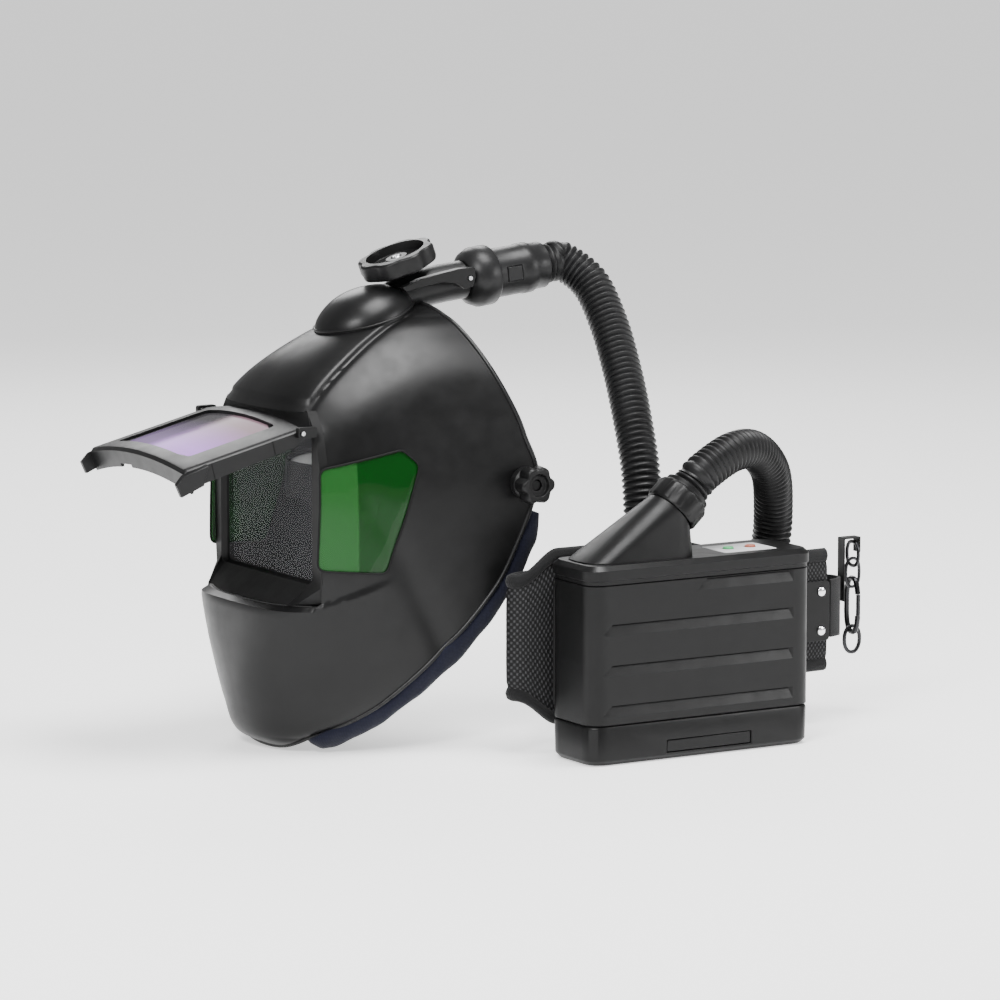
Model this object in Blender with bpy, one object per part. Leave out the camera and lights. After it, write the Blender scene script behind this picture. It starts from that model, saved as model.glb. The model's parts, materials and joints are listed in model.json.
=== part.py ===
"""Powered air respirator: welding helmet, air hose, belt blower and waist belt.

Metres, +Z up. The helmet faces -X, the blower's front faces -Y, and both stand on z = 0.
"""
from math import cos, pi, radians, sin

import bmesh
import bpy
from mathutils import Matrix, Vector

GAP = 0.0004                      # clearance between pieces that touch
MIDDLE = (0.0189, 0.1882, 0.0)    # middle of the whole set, drawn with the blower's corner at zero

# Helmet. Heights are above the ground, half widths are from the symmetry plane.
HELMET_Y = 0.233                  # symmetry plane
SHELL_WALL = 0.0026
# height, front x, rim x, rim half width, squareness, taper to the front, set-back of the corners
SHELL_SLICES = (
    (0.001, -0.178, -0.178, 0.000, 2.2, 0.00, 0.000),
    (0.012, -0.196, -0.166, 0.052, 2.2, 0.05, 0.000),
    (0.039, -0.203, -0.121, 0.088, 2.3, 0.08, 0.002),
    (0.085, -0.205, -0.069, 0.108, 2.7, 0.10, 0.004),
    (0.126, -0.205, -0.030, 0.115, 4.2, 0.12, 0.008),
    (0.160, -0.200, -0.008, 0.118, 6.5, 0.14, 0.010),
    (0.222, -0.196, 0.017, 0.119, 8.0, 0.15, 0.012),
    (0.262, -0.195, 0.009, 0.112, 7.0, 0.14, 0.012),
    (0.286, -0.192, 0.002, 0.104, 5.0, 0.13, 0.011),
    (0.316, -0.168, -0.008, 0.086, 3.2, 0.10, 0.006),
    (0.342, -0.124, -0.018, 0.062, 2.7, 0.06, 0.002),
    (0.357, -0.084, -0.026, 0.040, 2.4, 0.03, 0.000),
    (0.366, -0.033, -0.033, 0.000, 2.2, 0.00, 0.000),
)
SHELL_ROWS = 36
SHELL_COLUMNS = 28
OPENING_HALF_WIDTH = 0.0935
OPENING_BOTTOM = 0.129
OPENING_TOP = 0.288
PANEL_FRONT = -0.1760             # recessed front panel that holds the clear visor
PANEL_BACK = -0.1704
SIDE_WINDOW = ((-0.176, 0.243), (-0.104, 0.256), (-0.089, 0.243), (-0.104, 0.200), (-0.121, 0.154), (-0.179, 0.159))
PIVOT_X = 0.004
PIVOT_Z = 0.223
PIVOT_HOLE = 0.0052

# Flip lid, raised: it runs forward from the hinge and drops by LID_DROP.
HINGE_X = -0.190
HINGE_Z = 0.2735
LID_DROP = radians(14)
LID_LENGTH = 0.109
LID_HALF_WIDTH = 0.085
LID_THICK = 0.009
LIP_LOW = -0.0125                  # underside of the lid's front lip, from the lid's middle
LENS = (-0.094, -0.008, 0.061)    # seat of the cover lens: front, back, half width

# Air inlet on the crown, in the symmetry plane.
ELBOW_ROUTE = ((-0.080, 0.331), (-0.070, 0.353), (-0.046, 0.3715), (-0.0155, 0.3789), (0.014, 0.3825))
ELBOW_RADIUS = 0.0165
KNOB_CENTRE = (-0.047, 0.3975)
KNOB_TILT = radians(20)
CONNECTOR_TILT = radians(6.5)
CONNECTOR_LENGTH = 0.078
CONNECTOR_START = (0.0150, 0.3827)

# Hose
HOSE_RADIUS = 0.017
COUPLING_SEAT = (0.097, 0.034, 0.201)
COUPLING_RISE = radians(43)
COUPLING_LENGTH = 0.024

# Blower
BLOWER_W = 0.219
BLOWER_D = 0.068
BLOWER_TOP = 0.166
LID_SEAM = 0.150
BATTERY_TOP = 0.033
CORNER = 0.016
FAN_X = 0.060
FAN_Z = 0.094

# Belt: centre line seen from above, and the heights of the pad along its part of the line
BELT_Z = 0.097
BELT_ROUTE = ((0.110, 0.0805), (0.040, 0.0805), (0.006, 0.0810), (-0.014, 0.0850), (-0.0205, 0.0925),
              (-0.014, 0.0995), (0.006, 0.1060), (0.040, 0.1240), (0.090, 0.1460), (0.150, 0.1530),
              (0.220, 0.1500), (0.274, 0.1360), (0.303, 0.1150), (0.3105, 0.0970), (0.301, 0.0850),
              (0.272, 0.0805), (0.190, 0.0805))
PAD_THICK = 0.0085
WEB_HEIGHT = 0.050
WEB_THICK = 0.0024


# ---------------------------------------------------------------- materials and small tools
def material(name, colour, roughness, metallic=0.0):
    mat = bpy.data.materials.new(name)
    mat.use_nodes = True
    shader = mat.node_tree.nodes["Principled BSDF"]
    shader.inputs["Base Color"].default_value = (*colour, 1.0)
    shader.inputs["Roughness"].default_value = roughness
    shader.inputs["Metallic"].default_value = metallic
    return mat


def plastic(name, grey=0.02, roughness=0.45):
    return material(name, (grey, grey, grey * 1.05), roughness)


def add_object(name, bm, mat, origin=(0, 0, 0)):
    """Clean the mesh, face it outwards, mark its sharp edges and link it as one object."""
    bmesh.ops.remove_doubles(bm, verts=bm.verts, dist=1e-6)
    bmesh.ops.dissolve_degenerate(bm, dist=1e-7, edges=bm.edges)
    bmesh.ops.recalc_face_normals(bm, faces=bm.faces)
    for face in bm.faces:
        face.smooth = True
    for edge in bm.edges:
        if edge.is_manifold and edge.calc_face_angle(0) > radians(35):
            edge.smooth = False
    bmesh.ops.translate(bm, verts=bm.verts, vec=-Vector(origin))
    mesh = bpy.data.meshes.new(name)
    bm.to_mesh(mesh)
    bm.free()
    obj = bpy.data.objects.new(name, mesh)
    obj.location = origin
    bpy.context.scene.collection.objects.link(obj)
    if mat:
        mesh.materials.append(mat)
    return obj


def loft(rings, closed=False, caps=True):
    """Join rings of equal length into a skin; closed joins the last ring to the first."""
    bm = bmesh.new()
    loops = [[bm.verts.new(p) for p in ring] for ring in rings]
    size = len(rings[0])
    pairs = list(zip(loops, loops[1:]))
    if closed:
        pairs.append((loops[-1], loops[0]))
    for low, high in pairs:
        for i in range(size):
            j = (i + 1) % size
            bm.faces.new((low[i], low[j], high[j], high[i]))
    if caps and not closed:
        bm.faces.new(loops[0])
        bm.faces.new(loops[-1])
    return bm


def prism(points, low, high):
    """Extrude an outline: low and high turn each of its points into a place."""
    return loft([[Vector(low(*p)) for p in points], [Vector(high(*p)) for p in points]])


def rounded(outline, radius, steps=4):
    """Round an outline's corners with arcs."""
    result = []
    count = len(outline)
    for i in range(count):
        corner = Vector(outline[i])
        back = (Vector(outline[i - 1]) - corner).normalized()
        ahead = (Vector(outline[(i + 1) % count]) - corner).normalized()
        half = back.angle(ahead) / 2
        reach = radius / max(0.05, abs(sin(half) / cos(half)))
        start, end = corner + back * reach, corner + ahead * reach
        for k in range(steps + 1):
            t = k / steps
            result.append((start * (1 - t) ** 2 + corner * 2 * t * (1 - t) + end * t * t)[:])
    return result


def rectangle(x0, x1, y0, y1):
    return ((x0, y0), (x1, y0), (x1, y1), (x0, y1))


def block(low, high, radius=0.0, steps=3):
    """Box with rounded vertical corners."""
    outline = rectangle(low[0], high[0], low[1], high[1])
    if radius:
        outline = rounded(outline, radius, steps)
    return prism(outline, lambda x, y: (x, y, low[2]), lambda x, y: (x, y, high[2]))


def frame_of(axis):
    """Two directions across an axis."""
    axis = Vector(axis).normalized()
    side = Vector((0, 1, 0)) if abs(axis.y) < 0.9 else Vector((1, 0, 0))
    side = (side - axis * side.dot(axis)).normalized()
    return side, axis.cross(side), axis


def turned(profile, origin, axis, sides=32, lobes=0, closed=False):
    """Turn a profile of (radius, height, lobe depth) around an axis; lobes flute its rim."""
    side, up, axis = frame_of(axis)
    rings = []
    for radius, height, *depth in profile:
        dip = depth[0] if depth else 0.0
        ring = []
        for i in range(sides):
            angle = 2 * pi * i / sides
            reach = radius - dip * (0.5 - 0.5 * cos(lobes * angle)) ** 2
            ring.append(Vector(origin) + axis * height + (side * cos(angle) + up * sin(angle)) * reach)
        rings.append(ring)
    return loft(rings, closed=closed, caps=False)


def rod(start, end, radius, sides=16):
    start, end = Vector(start), Vector(end)
    length = (end - start).length
    profile = ((0, 0), (radius, 0), (radius, length), (0, length))
    return turned(profile, start, end - start, sides)


def curve_through(points, per_span, closed=False):
    """Points on a smooth curve through the given ones."""
    points = [Vector(p) for p in points]
    count = len(points)
    spans = count if closed else count - 1
    result = []
    for i in range(spans):
        if closed:
            p0, p1, p2, p3 = (points[(i + k) % count] for k in (-1, 0, 1, 2))
        else:
            p1, p2 = points[i], points[i + 1]
            p0 = points[i - 1] if i else 2 * p1 - p2
            p3 = points[i + 2] if i + 2 < count else 2 * p2 - p1
        for k in range(per_span):
            t = k / per_span
            result.append(0.5 * (2 * p1 + (p2 - p0) * t + (2 * p0 - 5 * p1 + 4 * p2 - p3) * t * t
                                 + (3 * p1 - p0 - 3 * p2 + p3) * t ** 3))
    if not closed:
        result.append(points[-1])
    return result


def circles_along(path, radius, sides, across=(0, 1, 0), flat=1.0):
    """Rings around a path whose bends all lie across one direction."""
    rings = []
    across = Vector(across)
    last = len(path) - 1
    for i, point in enumerate(path):
        ahead = (path[min(i + 1, last)] - path[max(i - 1, 0)]).normalized()
        normal = ahead.cross(across).normalized()
        ring = []
        for k in range(sides):
            angle = 2 * pi * k / sides
            ring.append(point + across * (cos(angle) * radius) + normal * (sin(angle) * radius * flat))
        rings.append(ring)
    return rings


def wire_loop(path, radius, normal, sides=6):
    """Round wire bent into a closed loop that lies in one plane."""
    count = len(path)
    normal = Vector(normal).normalized()
    rings = []
    for i in range(count):
        ahead = (path[(i + 1) % count] - path[i - 1]).normalized()
        out = ahead.cross(normal)
        ring = []
        for k in range(sides):
            angle = 2 * pi * k / sides
            ring.append(path[i] + (normal * cos(angle) + out * sin(angle)) * radius)
        rings.append(ring)
    return loft(rings, closed=True)


def cut(obj, name, bm, operation="DIFFERENCE", solver="EXACT"):
    """Cut a shape out of an object, or join it on, with a Boolean modifier."""
    cutter = add_object(name, bm, None)
    cutter.hide_render = True
    cutter.display_type = "WIRE"
    modifier = obj.modifiers.new(name, "BOOLEAN")
    modifier.operation = operation
    modifier.solver = solver
    modifier.object = cutter
    return obj


# ---------------------------------------------------------------- helmet shell
def slice_at(t):
    """Shell slice at t, from 0 at the chin to 1 at the crown, smooth through SHELL_SLICES."""
    last = len(SHELL_SLICES) - 1
    place = t * last
    i = min(int(place), last - 1)
    f = place - i
    rows = [SHELL_SLICES[min(max(i + k, 0), last)] for k in (-1, 0, 1, 2)]
    values = [0.5 * (2 * b + (c - a) * f + (2 * a - 5 * b + 4 * c - d) * f * f + (3 * b - a - 3 * c + d) * f ** 3)
              for a, b, c, d in zip(*rows)]
    if i == 0:
        values[3] = rows[2][3] * f ** 0.5
    if i == last - 1:
        values[3] = rows[1][3] * (1 - f) ** 0.5
    return values


def shell_point(row, angle):
    height, front, rim, half, power, taper, set_back = row
    a, b = abs(cos(angle)), abs(sin(angle))
    reach = (a ** power + b ** power) ** (-1 / power)
    ahead, aside = a * reach, b * reach
    x = rim + (front - rim) * ahead + set_back * aside * aside * ahead
    offset = half * aside * (1 - taper * ahead)
    return Vector((x, HELMET_Y - offset if angle > 0 else HELMET_Y + offset, height))


def slice_at_height(height):
    low, high = 0.0, 1.0
    for _ in range(30):
        middle = (low + high) / 2
        if slice_at(middle)[0] < height:
            low = middle
        else:
            high = middle
    return slice_at(low)


def wall_offset(x, height):
    """Distance of the shell's side from the symmetry plane."""
    _, front, rim, half, power, taper, _ = slice_at_height(height)
    ahead = min(0.999, max(0.0, (x - rim) / (front - rim)))
    return half * (1 - ahead ** power) ** (1 / power) * (1 - taper * ahead)


def crown_height(x, offset):
    """Height of the shell's top over a place."""
    low, high = 0.6, 1.0
    for _ in range(30):
        middle = (low + high) / 2
        _, front, rim, half, power, taper, _ = slice_at(middle)
        ahead = max(0.0, (x - rim) / (front - rim - 1e-9))
        aside = abs(offset) / (half * (1 - taper * min(ahead, 1)) + 1e-9)
        if ahead ** power + aside ** power < 1:
            low = middle
        else:
            high = middle
    return slice_at(low)[0]


def helmet_shell():
    rows = []
    for j in range(SHELL_ROWS + 1):
        row = slice_at(0.5 - 0.5 * cos(pi * j / SHELL_ROWS))
        rows.append([shell_point(row, pi * (i / SHELL_COLUMNS - 0.5)) for i in range(SHELL_COLUMNS + 1)])
    middle = Vector((-0.030, HELMET_Y, 0.195))
    shrink = [1 - SHELL_WALL / reach for reach in (0.170, 0.118, 0.170)]
    inner = [[middle + Vector([c * k for c, k in zip(p - middle, shrink)]) for p in row] for row in rows]
    loops = [row + back[::-1] for row, back in zip(rows, inner)]
    shell = add_object("helmet_shell", loft(loops, caps=False), plastic("shell_black", 0.018, 0.42))
    cut(shell, "cut_opening", block((-0.240, HELMET_Y - OPENING_HALF_WIDTH, OPENING_BOTTOM),
                                    (-0.165, HELMET_Y + OPENING_HALF_WIDTH, OPENING_TOP)), solver="MANIFOLD")
    outline = rounded(SIDE_WINDOW, 0.007)
    cut(shell, "cut_side_windows", prism(outline, lambda x, z: (x, HELMET_Y - 0.14, z),
                                         lambda x, z: (x, HELMET_Y + 0.14, z)), solver="MANIFOLD")
    cut(shell, "cut_pivots", rod((PIVOT_X, HELMET_Y - 0.14, PIVOT_Z), (PIVOT_X, HELMET_Y + 0.14, PIVOT_Z),
                                 PIVOT_HOLE), solver="MANIFOLD")
    cut(shell, "cut_inlet", loft(circles_along(elbow_path(), ELBOW_RADIUS + 0.0015, 24)), solver="MANIFOLD")
    return shell


def side_window(name, side):
    """Green window that fills its hole and follows the shell's wall."""
    outline = rounded(SIDE_WINDOW, 0.007)
    centre = sum((Vector(p) for p in outline), Vector((0, 0))) / len(outline)
    rings = []
    for share, inset in ((0, 0.0003), (0.5, 0.0003), (0.985, 0.0003), (0.985, 0.0028), (0.5, 0.0028), (0, 0.0028)):
        places = [centre + (Vector(p) - centre) * share for p in outline]
        rings.append([Vector((p.x, HELMET_Y + side * (wall_offset(p.x, p.y) - inset), p.y)) for p in places])
    return add_object(name, loft(rings, caps=False), material("window_green", (0.02, 0.32, 0.05), 0.12))


def face_seal():
    """Soft seal that follows the rim from ear to ear, under the chin."""
    rim = []
    for height in (0.196, 0.170, 0.140, 0.110, 0.082, 0.056, 0.034, 0.020):
        _, _, x, half, *_ = slice_at_height(height)
        rim.append(Vector((x, half, height)))
    path = []
    for i, p in enumerate(rim):
        ahead = rim[min(i + 1, len(rim) - 1)] - rim[max(i - 1, 0)]
        out = Vector((-ahead.z, 0, ahead.x)).normalized()
        path.append(p + out * 0.0095 - Vector((0, 0.004, 0)))
    chin = [Vector((-0.152, 0.040, 0.0105)), Vector((-0.158, 0.0, 0.0095))]
    half_path = path + chin
    near = [Vector((p.x, HELMET_Y - p.y, p.z)) for p in half_path]
    far = [Vector((p.x, HELMET_Y + p.y, p.z)) for p in reversed(half_path[:-1])]
    route = curve_through(near + far, 2)
    rings = []
    last = len(route) - 1
    for i, p in enumerate(route):
        ahead = (route[min(i + 1, last)] - route[max(i - 1, 0)]).normalized()
        out = Vector((1, 0, -0.3)).cross(ahead).cross(ahead).normalized()
        side = ahead.cross(out)
        rings.append([p + out * (cos(a) * 0.0075) + side * (sin(a) * 0.0045)
                      for a in (2 * pi * k / 8 for k in range(8))])
    return add_object("face_seal", loft(rings), material("seal_navy", (0.02, 0.03, 0.09), 0.9))


# ---------------------------------------------------------------- helmet front
def lid_piece(name, bm, mat):
    """A piece drawn with the lid level, its hinge at the origin, and then dropped into place."""
    obj = add_object(name, bm, mat)
    obj.location = (HINGE_X, HELMET_Y, HINGE_Z)
    obj.rotation_euler = (0, -LID_DROP, 0)
    return obj


def flip_lid():
    half = LID_HALF_WIDTH
    thick = LID_THICK
    lip = LID_LENGTH - 0.006
    profile = ((0.005, -0.0045), (0.005, 0.0045), (-LID_LENGTH, 0.0045), (-LID_LENGTH - 0.001, 0.0020),
               (-LID_LENGTH, LIP_LOW), (-lip, LIP_LOW), (-lip, -0.0045))
    lid = lid_piece("flip_lid", prism(profile, lambda x, z: (x, -half, z), lambda x, z: (x, half, z)),
                    plastic("lid_black", 0.02, 0.4))
    front, back, side = LENS
    ledge = 0.006
    for name, inset, low, radius in (("cut_lid_glass", ledge, -0.02, 0.005),
                                     ("cut_lid_ledge", 0.0, thick / 2 - 0.003, 0.006)):
        cutter = block((front + inset, inset - side, low), (back - inset, side - inset, 0.02), radius)
        place = Matrix.Translation((HINGE_X, HELMET_Y, HINGE_Z)) @ Matrix.Rotation(-LID_DROP, 4, "Y")
        bmesh.ops.transform(cutter, matrix=place, verts=cutter.verts)
        cut(lid, name, cutter)
    cut(lid, "cut_lid_pin", rod((HINGE_X, HELMET_Y - 0.1, HINGE_Z), (HINGE_X, HELMET_Y + 0.1, HINGE_Z), 0.0024, 16))
    return lid


def lid_lenses():
    top = LID_THICK / 2
    front, back, side = LENS
    play = 0.0005
    lid_piece("lid_cover_lens", block((front + play, play - side, top - 0.0026),
                                      (back - play, side - play, top - 0.0006), 0.006),
              material("lens_violet", (0.35, 0.28, 0.42), 0.08))
    lid_piece("darkening_filter", block((front + play, -0.066, -0.0110), (back - play, 0.066, -LID_THICK / 2 - GAP),
                                        0.004), plastic("filter_black", 0.015, 0.25))


def hinge_hardware():
    for name, side in (("hinge_bracket_left", -1), ("hinge_bracket_right", 1)):
        outline = rounded(rectangle(HINGE_X - 0.004, PANEL_FRONT - GAP, HINGE_Z - 0.004, HINGE_Z + 0.005), 0.002, 2)
        near = HELMET_Y + side * (LID_HALF_WIDTH + 0.0008)
        far = HELMET_Y + side * (LID_HALF_WIDTH + 0.0058)
        bracket = add_object(name, prism(outline, lambda x, z: (x, near, z), lambda x, z: (x, far, z)),
                             plastic("bracket_black"))
        cut(bracket, "cut_" + name, rod((HINGE_X, near - 0.01, HINGE_Z), (HINGE_X, near + 0.01, HINGE_Z), 0.0023, 16))
    add_object("lid_hinge_pin", rod((HINGE_X, HELMET_Y - 0.0925, HINGE_Z), (HINGE_X, HELMET_Y + 0.0925, HINGE_Z),
                                    0.0019, 12), material("pin_steel", (0.5, 0.5, 0.52), 0.3, 1.0))


def grinding_visor():
    outline = rounded(rectangle(-0.079, 0.079, 0.139, 0.277), 0.008)
    near, far = PANEL_BACK + GAP, PANEL_BACK + 0.0029
    add_object("grinding_visor", prism(outline, lambda y, z: (near, HELMET_Y + y, z),
                                       lambda y, z: (far, HELMET_Y + y, z)),
               material("visor_clear", (0.75, 0.76, 0.78), 0.05))
    edge = OPENING_HALF_WIDTH - 0.005
    inner = rounded(rectangle(-0.0755, 0.0755, 0.146, 0.272), 0.006)
    outer = rounded(rectangle(-edge, edge, OPENING_BOTTOM + 0.001, OPENING_TOP - 0.001), 0.003)
    rings = [[Vector((x, HELMET_Y + y, z)) for y, z in line]
             for x, line in ((PANEL_FRONT, outer), (PANEL_BACK, outer), (PANEL_BACK, inner), (PANEL_FRONT, inner))]
    add_object("visor_frame", loft(rings, closed=True), plastic("frame_black", 0.02, 0.5))


# ---------------------------------------------------------------- crown and air inlet
def elbow_path():
    return curve_through([(x, HELMET_Y, z) for x, z in ELBOW_ROUTE], 3)


def inlet_elbow():
    path = elbow_path()
    outer = circles_along(path, ELBOW_RADIUS, 20)
    inner = circles_along(path, ELBOW_RADIUS - 0.0025, 20)
    add_object("inlet_elbow", loft(outer + inner[::-1], closed=True), plastic("elbow_black", 0.02, 0.4))


def crown_cowl():
    """Teardrop cover over the inlet, blunt in front and narrow behind, that sits on the crown."""
    sides, rings_out = 28, 6
    front, back, half, rise, wall = -0.131, -0.040, 0.041, 0.0205, 0.0022
    middle = front + 0.044

    def dome(share, angle, drop):
        reach = (middle - front) if cos(angle) < 0 else (back - middle)
        x = middle + share * reach * cos(angle)
        offset = share * half * sin(angle)
        lift = rise * max(0.0, 1 - share ** 2.6) ** 0.62
        base = crown_height(x, offset)
        return Vector((x, HELMET_Y + offset, base + 0.0008 + max(0.0, lift + 0.0025 - drop)))

    outer = [[dome(k / rings_out, 2 * pi * i / sides, 0.0) for i in range(sides)] for k in range(rings_out + 1)]
    inner = [[dome(0.94 * k / rings_out, 2 * pi * i / sides, wall) for i in range(sides)]
             for k in range(rings_out, -1, -1)]
    floor = [[Vector((p.x, p.y, crown_height(p.x, p.y - HELMET_Y) + 0.0008)) for p in ring]
             for ring in (outer[-1], inner[0])]
    cowl = add_object("crown_cowl", loft(outer + floor + inner, caps=False), plastic("cowl_black", 0.02, 0.4))
    cut(cowl, "cut_cowl_inlet", loft(circles_along(elbow_path(), ELBOW_RADIUS + 0.0008, 24)), solver="MANIFOLD")


def airflow_knob():
    axis = Vector((-sin(KNOB_TILT), 0, cos(KNOB_TILT)))
    centre = Vector((KNOB_CENTRE[0], HELMET_Y, KNOB_CENTRE[1]))
    profile = ((0, -0.0075), (0.009, -0.0075), (0.009, -0.004), (0.027, -0.004), (0.0325, -0.002, 0.003),
               (0.0335, 0.001, 0.0034), (0.0335, 0.0105, 0.0034), (0.032, 0.012, 0.003), (0.0255, 0.0125),
               (0.0240, 0.0045), (0.0095, 0.0045), (0.0095, 0.0080), (0.0046, 0.0080), (0.0046, 0.0052), (0, 0.0052))
    add_object("airflow_knob", turned(profile, centre, axis, 48, 8), plastic("knob_black", 0.025, 0.45), centre)
    screw = ((0, 0.0056), (0.0041, 0.0056), (0.0041, 0.0078), (0.0030, 0.0088), (0.0017, 0.0088), (0.0017, 0.0068),
             (0, 0.0068))
    add_object("knob_screw", turned(screw, centre, axis, 16), material("screw_steel", (0.3, 0.3, 0.32), 0.35, 1.0),
               centre)


def latch_lever():
    """Latch arm on the near side of the inlet, with its pin."""
    outline = ((-0.058, 0.3810), (-0.040, 0.3875), (-0.020, 0.3915), (-0.002, 0.3945), (0.0125, 0.3950),
               (0.0135, 0.3870), (0.0110, 0.3790), (0.0030, 0.3770), (-0.0050, 0.3820), (-0.0180, 0.3840),
               (-0.0360, 0.3815), (-0.0540, 0.3772))
    near, far = HELMET_Y - 0.0255, HELMET_Y - 0.0175
    pivot = (0.0080, (near + far) / 2, 0.3860)
    lever = add_object("latch_lever", prism(outline, lambda x, z: (x, near, z), lambda x, z: (x, far, z)),
                       plastic("lever_black", 0.022, 0.42), pivot)
    cut(lever, "cut_lever_pin", rod((pivot[0], near - 0.01, pivot[2]), (pivot[0], far + 0.01, pivot[2]), 0.0024, 12))
    add_object("lever_pin", rod((pivot[0], near - 0.0012, pivot[2]), (pivot[0], far + 0.0008, pivot[2]), 0.0020, 12),
               material("lever_pin_steel", (0.4, 0.4, 0.42), 0.3, 1.0))


def connector_axis():
    start = Vector((CONNECTOR_START[0], HELMET_Y, CONNECTOR_START[1]))
    return start, Vector((cos(CONNECTOR_TILT), 0, sin(CONNECTOR_TILT)))


def swivel_connector():
    start, axis = connector_axis()
    profile = ((0.0175, 0.0), (0.0225, 0.004), (0.0258, 0.011), (0.0258, 0.024), (0.0245, 0.026), (0.0213, 0.027),
               (0.0210, 0.054), (0.0218, 0.056), (0.0218, 0.064), (0.0200, 0.067), (0.0200, CONNECTOR_LENGTH),
               (0.0130, CONNECTOR_LENGTH), (0.0130, 0.0))
    body = add_object("swivel_connector", turned(profile, start, axis, 32, closed=True),
                      plastic("connector_black", 0.03, 0.42), start)
    place = Matrix.Translation(start) @ Matrix.Rotation(-CONNECTOR_TILT, 4, "Y")
    recess = block((0.0335, -0.0230, -0.0065), (0.0485, -0.0178, 0.0065))
    bmesh.ops.transform(recess, matrix=place, verts=recess.verts)
    cut(body, "cut_button", recess)
    button = block((0.0340, -0.0212, -0.0060), (0.0480, -0.0194, 0.0060))
    bmesh.ops.transform(button, matrix=place, verts=button.verts)
    add_object("release_button", button, plastic("release_black", 0.03, 0.35), place @ Vector((0.041, -0.0203, 0)))


def inner_air_duct():
    """Flat duct that carries the air forward under the crown."""
    path = curve_through([(-0.100, HELMET_Y, 0.326), (-0.116, HELMET_Y, 0.319), (-0.138, HELMET_Y, 0.305),
                          (-0.160, HELMET_Y, 0.287)], 3)
    rings = []
    for half_width, half_depth in ((0.030, 0.0060), (0.0285, 0.0045)):
        for i, p in enumerate(path):
            ahead = (path[min(i + 1, len(path) - 1)] - path[max(i - 1, 0)]).normalized()
            normal = ahead.cross(Vector((0, 1, 0)))
            ring = [p + Vector((0, y, 0)) + normal * n
                    for y, n in rounded(rectangle(-half_width, half_width, -half_depth, half_depth), 0.004, 2)]
            rings.append(ring)
    count = len(path)
    add_object("inner_air_duct", loft(rings[:count] + rings[count:][::-1], closed=True), plastic("duct_black"))


# ---------------------------------------------------------------- headgear
def headgear():
    centre_x, half_long, half_wide = -0.050, 0.096, 0.077
    low, high, wall = 0.207, 0.237, 0.0022
    steps = 48
    grey = plastic("headgear_black", 0.03, 0.5)

    def ring(extra, height, start=0, end=steps):
        return [Vector((centre_x - (half_long + extra) * cos(2 * pi * i / steps),
                        HELMET_Y + (half_wide + extra) * sin(2 * pi * i / steps), height)) for i in range(start, end)]
    add_object("headband", loft([ring(0, low), ring(wall, low), ring(wall, high), ring(0, high)], closed=True), grey)
    brow = 9
    pad = [ring(-GAP, low + 0.003, -brow, brow + 1), ring(-0.0065, low + 0.003, -brow, brow + 1),
           ring(-0.0065, high - 0.003, -brow, brow + 1), ring(-GAP, high - 0.003, -brow, brow + 1)]
    sections = [[line[i] for line in pad] for i in range(2 * brow + 1)]
    add_object("sweatband", loft(sections), material("sweat_grey", (0.62, 0.62, 0.62), 0.9))
    strap = []
    for k in range(25):
        angle = pi * k / 24
        y = cos(angle) * half_wide
        z = high + GAP + sin(angle) * 0.080
        strap.append([Vector((centre_x - 0.015 + dx, HELMET_Y + y * s, high + GAP + (z - high - GAP) * s))
                      for dx, s in ((-0.010, 1.0), (0.010, 1.0), (0.010, 1.022), (-0.010, 1.022))])
    add_object("crown_strap", loft(strap), plastic("strap_black", 0.03, 0.55))
    back = Vector((centre_x + half_long + wall + GAP, HELMET_Y, (low + high) / 2))
    profile = ((0, 0.0), (0.010, 0.0), (0.012, 0.004), (0.0195, 0.005, 0.002), (0.0205, 0.010, 0.0025),
               (0.0195, 0.015, 0.002), (0.012, 0.016), (0, 0.016))
    add_object("ratchet_knob", turned(profile, back, (1, 0, 0), 36, 9), plastic("ratchet_black"), back)


def pivot_hardware():
    """Bolts from the headband through the shell, and the fluted knobs that clamp it."""
    outer = wall_offset(PIVOT_X + 0.0125, PIVOT_Z)
    inner = 0.0716
    for tag, side in (("left", -1), ("right", 1)):
        ear = Vector((PIVOT_X, HELMET_Y + side * inner, PIVOT_Z))
        axis = (0, side, 0)
        bolt = ((0, 0.0), (0.0085, 0.0), (0.0085, 0.004), (0.0042, 0.004), (0.0042, outer - inner + 0.020),
                (0, outer - inner + 0.020))
        add_object("pivot_bolt_" + tag, turned(bolt, ear, axis, 16), plastic("bolt_black", 0.03, 0.5))
        seat = Vector((PIVOT_X, HELMET_Y + side * (outer + 0.0006), PIVOT_Z))
        profile = ((0.0046, 0.0), (0.0135, 0.0), (0.0135, 0.006), (0.0110, 0.009), (0.0160, 0.011, 0.003),
                   (0.0170, 0.014, 0.0038), (0.0160, 0.0235, 0.0034), (0.0140, 0.0255, 0.002), (0.0095, 0.0255),
                   (0.0085, 0.0215), (0.0046, 0.0215))
        add_object("pivot_knob_" + tag, turned(profile, seat, axis, 36, 6, closed=True),
                   plastic("pivot_black", 0.015, 0.4), seat)


# ---------------------------------------------------------------- hose
def coupling_axis():
    return Vector(COUPLING_SEAT), Vector((cos(COUPLING_RISE), 0, sin(COUPLING_RISE)))


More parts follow.
